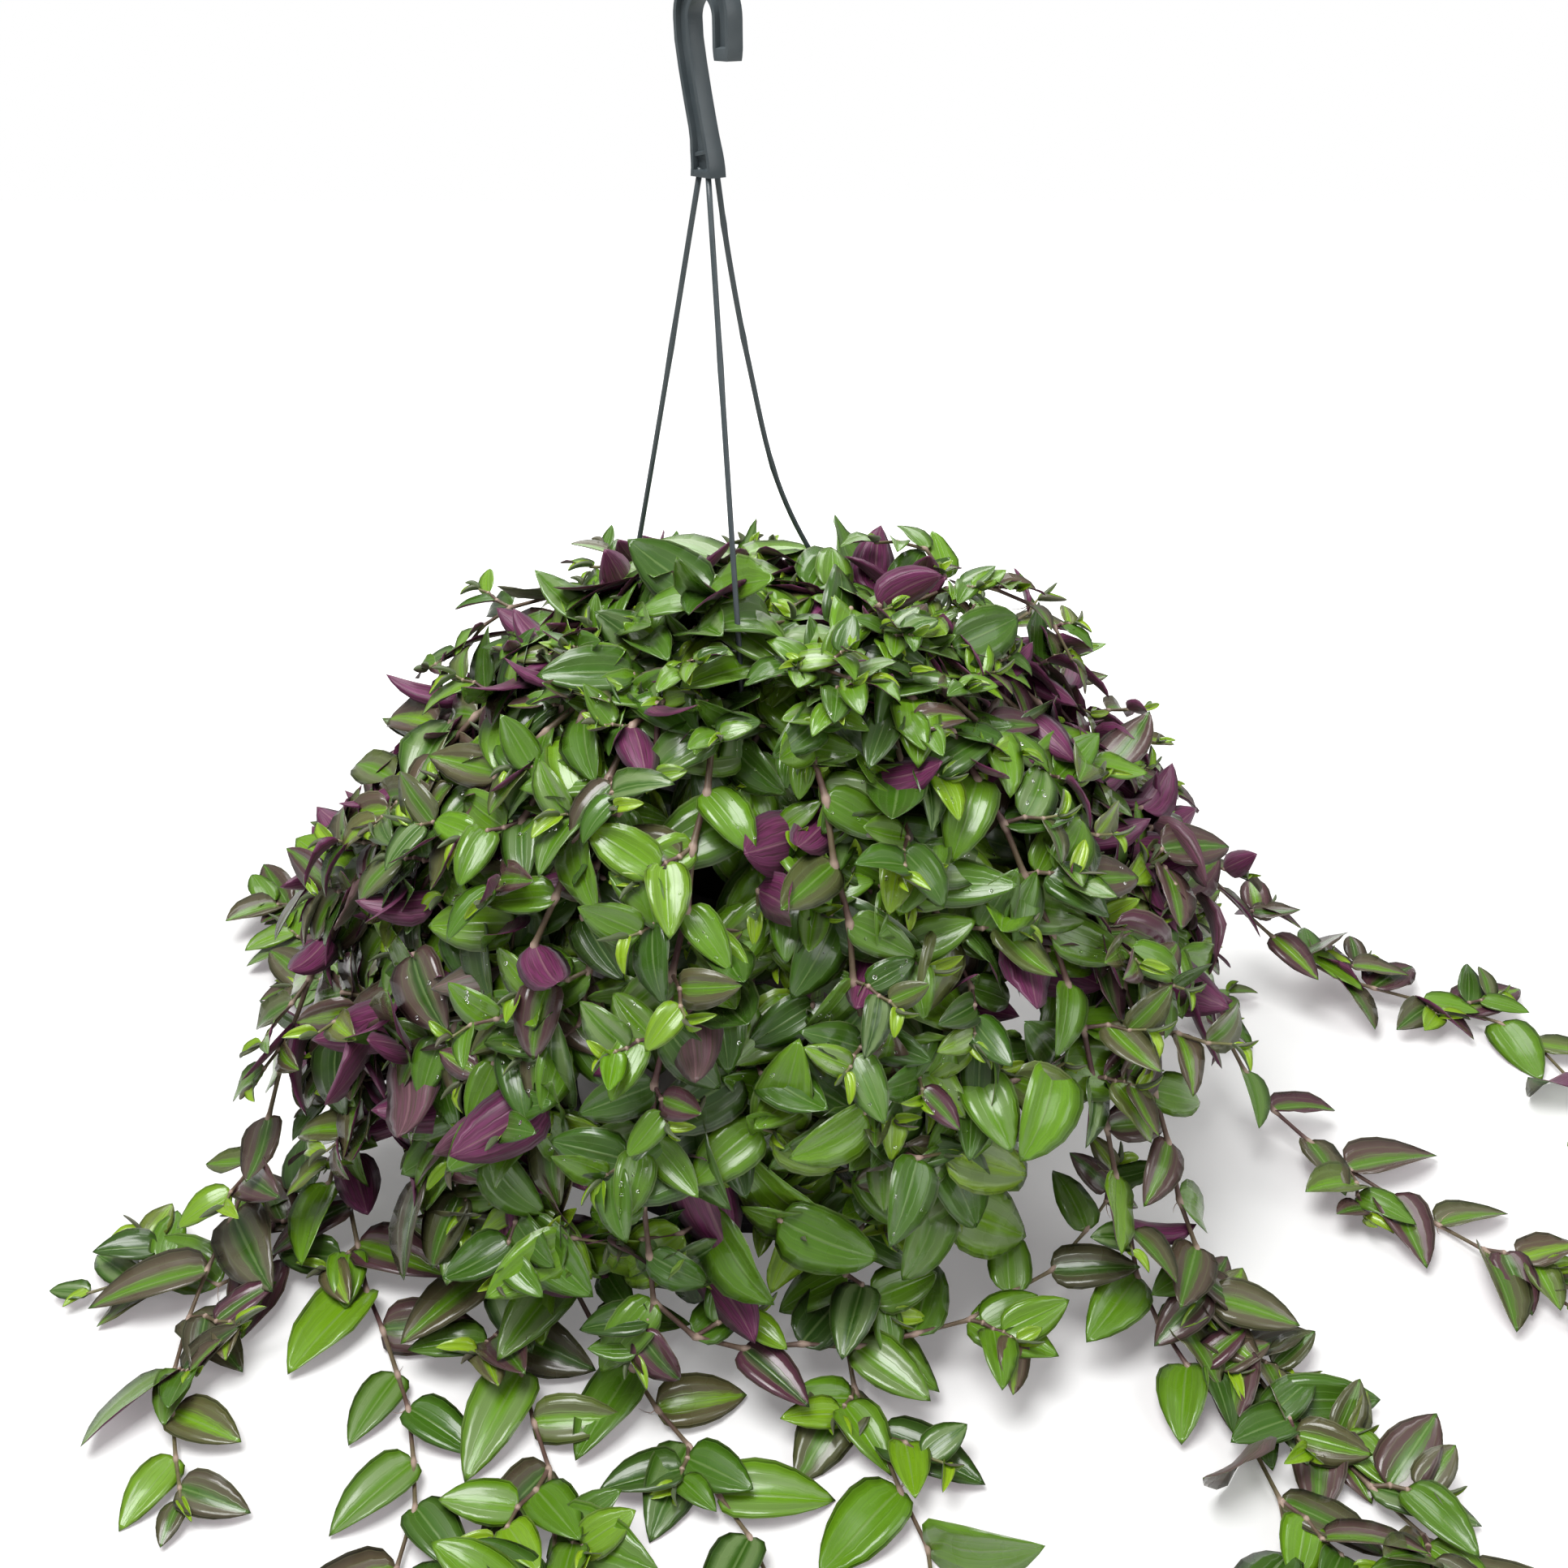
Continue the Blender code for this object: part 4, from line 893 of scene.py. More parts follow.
@dataclass
class StemRun:
    """A stem or shoot along its nodes, with swollen joints and pale collars."""

    points: list
    thick: float
    thin: float
    age: float

    def add_to(self, store: MeshStore) -> None:
        """Add the stem to a piece as one closed tube."""
        stations = []
        last = len(self.points) - 1
        for index in range(last):
            start, end = self.points[index], self.points[index + 1]
            for share, swell, collar in STEM_STEPS:
                run = (index + share) / last
                radius = self.thick + (self.thin - self.thick) * run ** 1.4
                stations.append((start.lerp(end, share), radius * swell, collar, run))
        stations.append((self.points[-1], self.thin * 0.8, 0.0, 1.0))
        verts, collars, youths, uvs = [], [], [], []
        across = None
        for index, (centre, radius, collar, run) in enumerate(stations):
            ahead = stations[min(index + 1, len(stations) - 1)][0]
            behind = stations[max(index - 1, 0)][0]
            tangent = (ahead - behind).normalized()
            across = tangent.orthogonal() if across is None else across - tangent * across.dot(tangent)
            across.normalize()
            up = tangent.cross(across)
            centre = Vector((centre.x, centre.y, max(centre.z, radius + SURFACE)))
            for k in range(STEM_SIDES):
                angle = 2 * math.pi * k / STEM_SIDES
                verts.append(centre + (across * math.cos(angle) + up * math.sin(angle)) * radius)
                collars.append(collar)
                youths.append(min(1.0, max(0.0, self.age + (run - 0.72) * 1.6)))
                uvs.append((k / STEM_SIDES, run))
        faces = []
        for ring in range(len(stations) - 1):
            for k in range(STEM_SIDES):
                n = (k + 1) % STEM_SIDES
                faces.append((ring * STEM_SIDES + k, ring * STEM_SIDES + n,
                              (ring + 1) * STEM_SIDES + n, (ring + 1) * STEM_SIDES + k))
        faces.append(tuple(range(STEM_SIDES))[::-1])
        faces.append(tuple(range(len(verts) - STEM_SIDES, len(verts))))
        store.add(verts, faces, [0] * len(faces), uvs, collar=collars, young=youths)


def add_rootlets(rng: random.Random, store: MeshStore, node: Vector) -> None:
    """Add a few fine pale rootlets at a node."""
    for _ in range(rng.choice((1, 2, 3))):
        way = Vector((rng.uniform(-1, 1), rng.uniform(-1, 1), rng.uniform(-1.0, 0.1))).normalized()
        length = rng.uniform(0.006, 0.015)
        side = way.orthogonal().normalized()
        other = way.cross(side)
        verts, faces = [], []
        for step in range(4):
            share = step / 3
            centre = node + way * (0.001 + length * share) + side * (0.0016 * math.sin(3 * share))
            centre.z = max(centre.z, 0.0008)
            radius = 0.00038 * (1 - 0.75 * share)
            for k in range(3):
                angle = 2 * math.pi * k / 3
                verts.append(centre + (side * math.cos(angle) + other * math.sin(angle)) * radius)
        for ring in range(3):
            for k in range(3):
                n = (k + 1) % 3
                faces.append((3 * ring + k, 3 * ring + n, 3 * ring + 3 + n, 3 * ring + 3 + k))
        faces += [(2, 1, 0), (9, 10, 11)]
        store.add(verts, faces, [0] * len(faces), [(0.0, 0.0)] * 12, collar=[1.0] * 12, young=[0.0] * 12)


@dataclass
class SideShoot:
    """A short leafy shoot at a node, ending in a rolled lime tip."""

    start: Vector
    heading: Vector
    facing: Vector
    length: float
    scale: float

    def grow(self, rng: random.Random, stems: MeshStore, blades: list) -> None:
        """Grow the shoot's stem into a piece and its leaves into a list.

        Args:
            rng: the plant's random numbers.
            stems: the piece that holds the vine's stems.
            blades: the vine's leaves, to which the shoot's are added.
        """
        joints = rng.choice((3, 4, 4, 5))
        points = [self.start.copy()]
        heading = self.heading.normalized()
        sideways = heading.cross(self.facing).normalized()
        for step in range(joints):
            lean = sideways * (0.16 if step % 2 else -0.16)
            reach = self.length / joints * (1.25 - 0.16 * step)
            spot = points[-1] + (heading + lean + Vector((0, 0, -0.05 * step))).normalized() * reach
            spot.z = max(spot.z, 0.003)
            points.append(spot)
        StemRun(points, 0.00125 * self.scale ** 0.5, 0.0007, 0.35).add_to(stems)
        side = rng.choice((-1, 1))
        for index in range(1, len(points)):
            rest = len(points) - 1 - index
            age = (Age.NEW, Age.YOUNG, Age.GROWN)[min(rest, 2)]
            length = self.scale * rng.uniform(0.036, 0.046) * (0.42, 0.72, 0.92)[min(rest, 2)]
            along = heading * rng.uniform(0.35, 0.75) + sideways * side * rng.uniform(0.6, 1.0)
            along = (along + self.facing * rng.uniform(0.0, 0.35)).normalized()
            if points[index].z < 0.03:
                along.z = max(along.z, 0.04)
                along.normalize()
            face = self.facing + Vector((rng.gauss(0, 0.22), rng.gauss(0, 0.22), rng.gauss(0, 0.22)))
            face = (face - along * face.dot(along)).normalized()
            leaf = Leaf(index, points[index].copy(), along, face, length, length * rng.uniform(0.28, 0.34))
            blades.append(dress_leaf(rng, leaf, age))
            side = -side
        tip = Leaf(len(points), points[-1].copy(), (heading + self.facing * 0.4).normalized(),
                   sideways.copy(), self.scale * rng.uniform(0.012, 0.018), 0.0032)
        tip.face = (tip.face - tip.along * tip.face.dot(tip.along)).normalized()
        blades.append(dress_leaf(rng, tip, Age.NEW))


def add_rosette(rng: random.Random, spot: Vector, heading: Vector, scale: float, blades: list) -> None:
    """Add the close-set young leaves at a shoot's end, round a rolled lime leaf.

    Args:
        rng: the plant's random numbers.
        spot: the shoot's end.
        heading: where the shoot points.
        scale: the leaves' size, 1 for a full shoot.
        blades: the vine's leaves, to which these are added.
    """
    heading = heading.normalized()
    first = heading.orthogonal().normalized()
    first.rotate(Quaternion(heading, rng.uniform(0, 2 * math.pi)))
    for index, (length, lift, age) in enumerate(((0.044, 0.10, Age.GROWN), (0.040, 0.16, Age.GROWN),
                                                 (0.028, 0.30, Age.YOUNG), (0.018, 0.5, Age.NEW))):
        way = first.copy()
        way.rotate(Quaternion(heading, math.pi * index + rng.gauss(0, 0.35) + 0.35 * (index // 2)))
        along = (way + heading * (lift + rng.uniform(-0.05, 0.1)))
        along = (along + Vector((0, 0, -0.18))).normalized()
        face = (heading - along * heading.dot(along)).normalized()
        size = length * scale * rng.uniform(0.9, 1.15)
        base = spot - heading * (0.006 - 0.0018 * index)
        blades.append(dress_leaf(rng, Leaf(index, base, along, face, size, size * rng.uniform(0.30, 0.36)), age))
    side = heading.cross(first).normalized()
    blades.append(dress_leaf(rng, Leaf(9, spot.copy(), heading, side, 0.013 * scale, 0.003), Age.NEW))


GOLDEN_ANGLE = math.pi * (3 - math.sqrt(5))


@dataclass
class Canopy:
    """The leafy shoots that close the dome: each grows from a vine's node out to the dome's surface."""

    shoots: int = 300
    arc: tuple = (0.0, 2 * math.pi)
    depth: float = 0.72
    reach: float = 0.13
    step: float = 0.019
    lowest_node: float = 0.1
    leaf_scale: float = 1.0
    profile: tuple = ((0.378, 0.02), (0.371, 0.070), (0.350, 0.112), (0.315, 0.155), (0.270, 0.200),
                      (0.215, 0.246), (0.160, 0.282))

    def spot(self, rng: random.Random, index: int) -> tuple:
        """A place on the dome, its normal and the way down its surface."""
        spans = list(zip(self.profile, self.profile[1:]))
        areas = [(low[1] + high[1]) * math.hypot(high[1] - low[1], high[0] - low[0]) for low, high in spans]
        (z0, r0), (z1, r1) = rng.choices(spans, areas)[0]
        share = rng.random()
        first, last = self.arc
        angle = first + index * GOLDEN_ANGLE % (last - first) + rng.uniform(-0.1, 0.1)
        radial = Vector((math.cos(angle), math.sin(angle), 0))
        radius = (r0 + (r1 - r0) * share) * rng.uniform(0.90, 1.02)
        squeezed = Vector((radial.x, radial.y * self.depth, 0))
        place_on = squeezed * radius + Vector((0, 0, z0 + (z1 - z0) * share))
        normal = (radial * (z0 - z1) + Vector((0, 0, r1 - r0))).normalized()
        down = (radial * (r1 - r0) + Vector((0, 0, z1 - z0))).normalized()
        return place_on, normal, down

    def plan(self, rng: random.Random, vines: list) -> dict:
        """Give each shoot to the vine whose node best reaches its place on the dome."""
        shared = {vine.name: [] for vine in vines}
        nodes = [(vine.name, point) for vine in vines for point in vine.points[1:-1]
                 if point.z > self.lowest_node]
        for index in range(self.shoots):
            target, normal, down = self.spot(rng, index)
            best = min(nodes, key=lambda node: (node[1] - target).length
                       + 1.5 * max(0.0, target.z - node[1].z)
                       + 2.0 * max(0.0, 0.02 - (target - node[1]).dot(normal)))
            if (best[1] - target).length < self.reach:
                shared[best[0]].append((best[1], target, normal, down))
        return shared

    def grow(self, rng: random.Random, course: tuple, stems: MeshStore, blades: list) -> None:
        """Grow one shoot out to its place, with a rosette at its end."""
        start, target, normal, down = course
        span = (target - start).length
        count = max(2, round(span / self.step))
        points = []
        sideways = normal.cross(down).normalized()
        for index in range(count + 1):
            share = index / count
            arch = math.sin(math.pi * share) * (0.012 + 0.10 * span)
            zig = 0.0022 * (-1) ** index * (0 < index < count)
            points.append(start.lerp(target, share) + normal * arch + sideways * zig)
        StemRun(points, 0.0013, 0.0008, 0.2).add_to(stems)
        side = rng.choice((-1, 1))
        for index in range(max(1, count - 4), count + 1):
            heading = (points[index] - points[index - 1]).normalized()
            along = (sideways * side * rng.uniform(0.6, 1.0) + down * rng.uniform(0.1, 0.8)
                     + heading * rng.uniform(0.2, 0.6) + normal * rng.uniform(-0.1, 0.25)).normalized()
            face = normal + Vector((rng.gauss(0, 0.25), rng.gauss(0, 0.25), rng.gauss(0.1, 0.25)))
            face = (face - along * face.dot(along)).normalized()
            if rng.random() < 0.06 + 0.16 * min(1.0, abs(target.x) / 0.24):
                face = -face
            length = rng.uniform(0.038, 0.056) * self.leaf_scale
            leaf = Leaf(index, points[index].copy(), along, face, length, length * rng.uniform(0.30, 0.36))
            blades.append(dress_leaf(rng, leaf, Age.YOUNG if index > count - 1 else Age.GROWN))
            side = -side
        heading = (normal + down * rng.uniform(0.1, 0.7)
                   + Vector((rng.gauss(0, 0.2), rng.gauss(0, 0.2), rng.gauss(0, 0.2))))
        add_rosette(rng, points[-1], heading, rng.uniform(0.85, 1.15) * self.leaf_scale, blades)


@dataclass
class DropSprinkler:
    """Water drops that sit on the leaves at the front of the mound."""

    rng: random.Random
    store: MeshStore = field(default_factory=MeshStore)

    def sprinkle(self, blade: Blade) -> None:
        """Put a few drops on a leaf, if it is one that got wet."""
        base = blade.leaf.base
        if base.y > -0.07 or not 0.14 < base.z < 0.37 or abs(base.x) > 0.2 or self.rng.random() > 0.42:
            return
        if blade.leaf.face.y > 0.2 or blade.leaf.length < 0.026:
            return
        for _ in range(self.rng.choice((1, 2, 3, 4, 6))):
            along = self.rng.uniform(0.15, 0.85)
            lane = self.rng.uniform(-0.75, 0.75)
            width = 1.0 - abs(along - 0.38) * 0.9
            self.add_drop(*blade.spot(along, lane, width), self.rng.uniform(0.00045, 0.0013))

    def add_drop(self, spot: Vector, normal: Vector, radius: float) -> None:
        """Add one flattened drop."""
        across = normal.orthogonal().normalized()
        other = normal.cross(across)
        stretch = self.rng.uniform(0.8, 1.5)
        verts, faces = [], []
        heights = ((0.25, -0.06), (1.0, 0.0), (0.82, 0.26), (0.42, 0.44))
        for size, height in heights:
            for k in range(8):
                angle = 2 * math.pi * k / 8
                verts.append(spot + (across * (math.cos(angle) * stretch) + other * math.sin(angle))
                             * (radius * size) + normal * (radius * height + 0.00005))
        verts.append(spot + normal * radius * 0.5)
        for ring in range(3):
            for k in range(8):
                n = (k + 1) % 8
                faces.append((8 * ring + k, 8 * ring + n, 8 * ring + 8 + n, 8 * ring + 8 + k))
        faces += [(24 + k, 24 + (k + 1) % 8, 32) for k in range(8)]
        faces.append(tuple(range(8))[::-1])
        self.store.add(verts, faces, [0] * len(faces), [(0.0, 0.0)] * len(verts))


@dataclass
class Plant:
    """The whole plant: every vine's stems, leaves and side shoots, and the drops on them."""

    seed: int = 977
    shoot_chance: float = 0.62
    floor_shoot_chance: float = 0.42

    def build(self) -> None:
        """Grow the vines again and model each as one piece of stems and one of leaves."""
        leaf_materials = [BladeTop().make(), BladeUnder().make()]
        stem_materials = [StemSkin().make()]
        rng = random.Random(self.seed)
        drops = DropSprinkler(random.Random(self.seed + 1))
        vines = grow_plant()
        curtain = Canopy(38, (math.radians(205), math.radians(340)), 0.78, 0.15, 0.022, 0.02, 1.12,
                         ((0.175, 0.262), (0.120, 0.282), (0.070, 0.295)))
        planned = [(canopy, canopy.plan(rng, vines)) for canopy in (Canopy(), curtain)]
        for vine in vines:
            stems, leaves, blades = MeshStore(), MeshStore(), []
            self.grow_vine(rng, vine, stems, blades)
            for canopy, courses in planned:
                for course in courses[vine.name]:
                    canopy.grow(rng, course, stems, blades)
            for blade in blades:
                blade.add_to(leaves)
                drops.sprinkle(blade)
            short = vine.name.removeprefix("vine_")
            place(stems.make(f"stem_{short}", stem_materials), "foliage", vine.name)
            place(leaves.make(f"leaves_{short}", leaf_materials), "foliage", vine.name)
        place(drops.store.make("water_drops", [make_water()]), "foliage")

    def grow_vine(self, rng: random.Random, vine: Vine, stems: MeshStore, blades: list) -> None:
        """Model one vine: its stem, its own leaves and its shoots."""
        thick = 0.00185 if vine.kind != "crown" else 0.0014
        StemRun(vine.points, thick, 0.0009, 0.0).add_to(stems)
        last = len(vine.points) - 1
        for leaf in vine.leaves:
            rest = last - leaf.node
            blades.append(dress_leaf(rng, leaf, Age.YOUNG if rest < 3 else Age.GROWN))
        self.finish_tip(rng, vine, blades)
        for index in range(2, last):
            spot = vine.points[index]
            low = spot.z < 0.05
            if rng.random() < (self.floor_shoot_chance if low else self.shoot_chance):
                self.add_shoot(rng, vine, index, stems, blades)
            if rng.random() < 0.16:
                add_rootlets(rng, stems, spot)

    def add_shoot(self, rng: random.Random, vine: Vine, index: int, stems: MeshStore, blades: list) -> None:
        """Add a side shoot at a node, leaning out of the mound or along the surface."""
        spot = vine.points[index]
        tangent = (vine.points[index + 1] - vine.points[index - 1]).normalized()
        facing = outward(spot)
        sideways = tangent.cross(facing).normalized() * rng.choice((-1, 1))
        low = spot.z < 0.05
        heading = (tangent * rng.uniform(0.3, 0.9) + sideways * rng.uniform(0.3, 0.9)
                   + facing * (rng.uniform(0.1, 0.4) if low else rng.uniform(0.3, 0.95)))
        size = rng.uniform(0.95, 1.25) if low else rng.uniform(0.85, 1.12) * (0.72 if spot.z > 0.32 else 1.0)
        SideShoot(spot.copy(), heading, (facing + Vector((0, -0.12, 0.12))).normalized(),
                  rng.uniform(0.020, 0.042) * size, size).grow(rng, stems, blades)

    def finish_tip(self, rng: random.Random, vine: Vine, blades: list) -> None:
        """Close a vine's end with a young leaf and a rolled lime one."""
        end = vine.points[-1]
        tangent = (end - vine.points[-2]).normalized()
        facing = outward(end)
        sideways = tangent.cross(facing).normalized()
        for length, side, age in ((0.024, 0.5, Age.YOUNG), (0.016, -0.35, Age.NEW)):
            along = (tangent + sideways * side + facing * 0.25).normalized()
            if end.z < 0.03:
                along.z = max(along.z, 0.05)
                along.normalize()
            face = (facing - along * facing.dot(along)).normalized()
            leaf = Leaf(len(vine.points), end - tangent * 0.002, along, face, length, length * 0.3)
            blades.append(dress_leaf(rng, leaf, age))


# ------------------------------------------------------------------ holder

def deselect() -> None:
    """Clear the selection, so that an operator acts only on what is added next."""
    if bpy.context.object and bpy.context.object.mode != "OBJECT":
        bpy.ops.object.mode_set(mode="OBJECT")
    bpy.ops.object.select_all(action="DESELECT")


def turn_up(name: str, profile: list, segments: int) -> bpy.types.Object:
    """Model a turned solid by drawing a disc up through a profile.

    Args:
        name: the piece's name.
        profile: (radius, height) of each ring, from the underside round to the last face.
        segments: how many sides each ring has.

    Returns:
        The closed object, at the origin.
    """
    deselect()
    radius, height = profile[0]
    bpy.ops.mesh.primitive_circle_add(vertices=segments, radius=radius, fill_type="NGON",
                                      location=(0, 0, height))
    made = bpy.context.object
    made.name = made.data.name = name
    bpy.ops.object.transform_apply(location=True, rotation=True, scale=True)
    bpy.ops.object.mode_set(mode="EDIT")
    bpy.ops.mesh.select_all(action="SELECT")
    for next_radius, next_height in profile[1:]:
        bpy.ops.mesh.extrude_region_move(
            TRANSFORM_OT_translate={"value": (0, 0, next_height - height)})
        share = next_radius / radius
        bpy.ops.transform.resize(value=(share, share, 1), center_override=(0, 0, next_height))
        radius, height = next_radius, next_height
    bpy.ops.mesh.select_all(action="SELECT")
    bpy.ops.mesh.normals_make_consistent(inside=False)
    bpy.ops.object.mode_set(mode="OBJECT")
    return made


def apply_modifiers(piece: bpy.types.Object) -> None:
    """Apply every modifier of a piece."""
    deselect()
    piece.select_set(True)
    bpy.context.view_layer.objects.active = piece
    for modifier in list(piece.modifiers):
        bpy.ops.object.modifier_apply(modifier=modifier.name)


def finish_edges(piece: bpy.types.Object, width: float, segments: int = 3, angle: float = 30.0) -> None:
    """Round a piece's sharp edges and shade it smooth.

    Args:
        piece: the piece to finish.
        width: how wide the rounding is.
        segments: how many faces it has.
        angle: edges sharper than this, in degrees, are rounded.
    """
    bevel = piece.modifiers.new("round_edges", "BEVEL")
    bevel.width = width
    bevel.segments = segments
    bevel.limit_method = "ANGLE"
    bevel.angle_limit = math.radians(angle)
    bevel.harden_normals = False
    apply_modifiers(piece)
    bpy.ops.object.shade_smooth_by_angle(angle=math.radians(35))


@dataclass
class Stand:
    """The round stand: a black foot and a pale hollow drum with a grip hole."""

    segments: int = 96
    wall: float = 0.004
    drum_top: float = 0.200
    grip_radius: float = 0.019
    grip_height: float = 0.072
    grip_azimuth: float = -16.0

    def build(self) -> None:
        """Model both pieces."""
        self.build_foot()
        self.build_drum()

    def build_foot(self) -> None:
        """The foot: a thick disc with a shallow groove round its side."""
        rim, height = FOOT_RADIUS, FOOT_HEIGHT
        foot = turn_up("foot_disc", [(rim * 0.4, 0.0), (rim - 0.002, 0.0), (rim, 0.002), (rim, 0.010),
                                     (rim - 0.0012, 0.0112), (rim - 0.0012, 0.0132), (rim, 0.0144),
                                     (rim, height - 0.004), (rim - 0.001, height - 0.0012),
                                     (rim - 0.004, height), (rim * 0.4, height)], self.segments)
        finish_edges(foot, 0.0006, 2, 20)
        foot.data.materials.append(Moulded("foot_rubber", (0.010, 0.010, 0.011), (0.020, 0.020, 0.021),
                                           0.55).make())
        place(foot, "foot_rubber", "stand_foot")

    def build_drum(self) -> None:
        """The drum: a closed top, a thin wall open underneath, and the grip hole through one side."""
        outer, low = DRUM_RADIUS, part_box("stand_drum")[0][2]
        inner, top = outer - self.wall, self.drum_top
        drum = turn_up("drum_shell", [(inner * 0.5, top - self.wall), (inner, top - self.wall),
                                      (inner, low), (outer - 0.0008, low), (outer, low + 0.0008),
                                      (outer, top - 0.004), (outer - 0.0012, top - 0.0012),
                                      (outer - 0.004, top), (inner * 0.5, top)], self.segments)
        deselect()
        angle = math.radians(self.grip_azimuth)
        bpy.ops.mesh.primitive_cylinder_add(
            vertices=48, radius=self.grip_radius, depth=0.04,
            location=(outer * math.cos(angle), outer * math.sin(angle), self.grip_height),
            rotation=(0, math.pi / 2, angle))
        cutter = bpy.context.object
        cut = drum.modifiers.new("grip_hole", "BOOLEAN")
        cut.object = cutter
        apply_modifiers(drum)
        bpy.data.objects.remove(cutter, do_unlink=True)
        finish_edges(drum, 0.0007, 2, 40)
        drum.data.materials.append(Moulded("drum_plastic", (0.46, 0.46, 0.44), (0.54, 0.54, 0.52),
                                           0.48, 500.0).make())
        place(drum, "drum_plastic", "stand_drum")


@dataclass
class HangingPot:
    """The pot with its outturned rim, and the soil in it."""

    segments: int = 96
    bottom_radius: float = 0.060
    wall: float = 0.0018
    lip: float = 0.307

    def build(self) -> None:
        """Model the pot and the soil."""
        low, wall, top = POT_BOTTOM, WALL_TOP_RADIUS, RIM_TOP
        thin = self.wall
        pot = turn_up("pot_shell", [(0.030, low), (self.bottom_radius - 0.002, low),
                                    (self.bottom_radius, low + 0.002), (wall - 0.0025, self.lip - 0.012),
                                    (wall, self.lip - 0.0105), (wall, self.lip), (RIM_RADIUS, self.lip),
                                    (RIM_RADIUS, top - 0.001), (RIM_RADIUS - 0.001, top), (wall, top),
                                    (wall - thin, top - 0.002), (wall - thin, self.lip),
                                    (self.bottom_radius - thin, low + thin), (0.030, low + thin)],
                      self.segments)
        finish_edges(pot, 0.0004, 2, 35)
        pot.data.materials.append(Moulded("pot_plastic", (0.012, 0.015, 0.021), (0.030, 0.034, 0.042),
                                          0.36).make())
        place(pot, "pot_plastic", "pot")
        self.build_soil()

    def build_soil(self) -> None:
        """The soil: a plug that fills the pot, with a crumbly top."""
        inner = self.bottom_radius - self.wall - 0.0012
        slope = (WALL_TOP_RADIUS - self.bottom_radius) / (self.lip - POT_BOTTOM)
        high = inner + slope * (SOIL_TOP - POT_BOTTOM)
        floor = POT_BOTTOM + self.wall + 0.0004
        rings = [(high * share, SOIL_TOP) for share in (0.97, 0.86, 0.74, 0.62, 0.5, 0.38, 0.26, 0.14, 0.05)]
        soil = turn_up("soil_plug", [(inner * 0.3, floor), (inner, floor), (high, SOIL_TOP - 0.002), *rings], 72)
        rng = random.Random(31)
        for vertex in soil.data.vertices:
            if vertex.co.z > SOIL_TOP - 0.001:
                vertex.co.z += rng.uniform(-0.0016, 0.0014)
        bpy.ops.object.shade_smooth_by_angle(angle=math.radians(50))
        soil.data.materials.append(PottingSoil().make())
        place(soil, "soil", "soil")


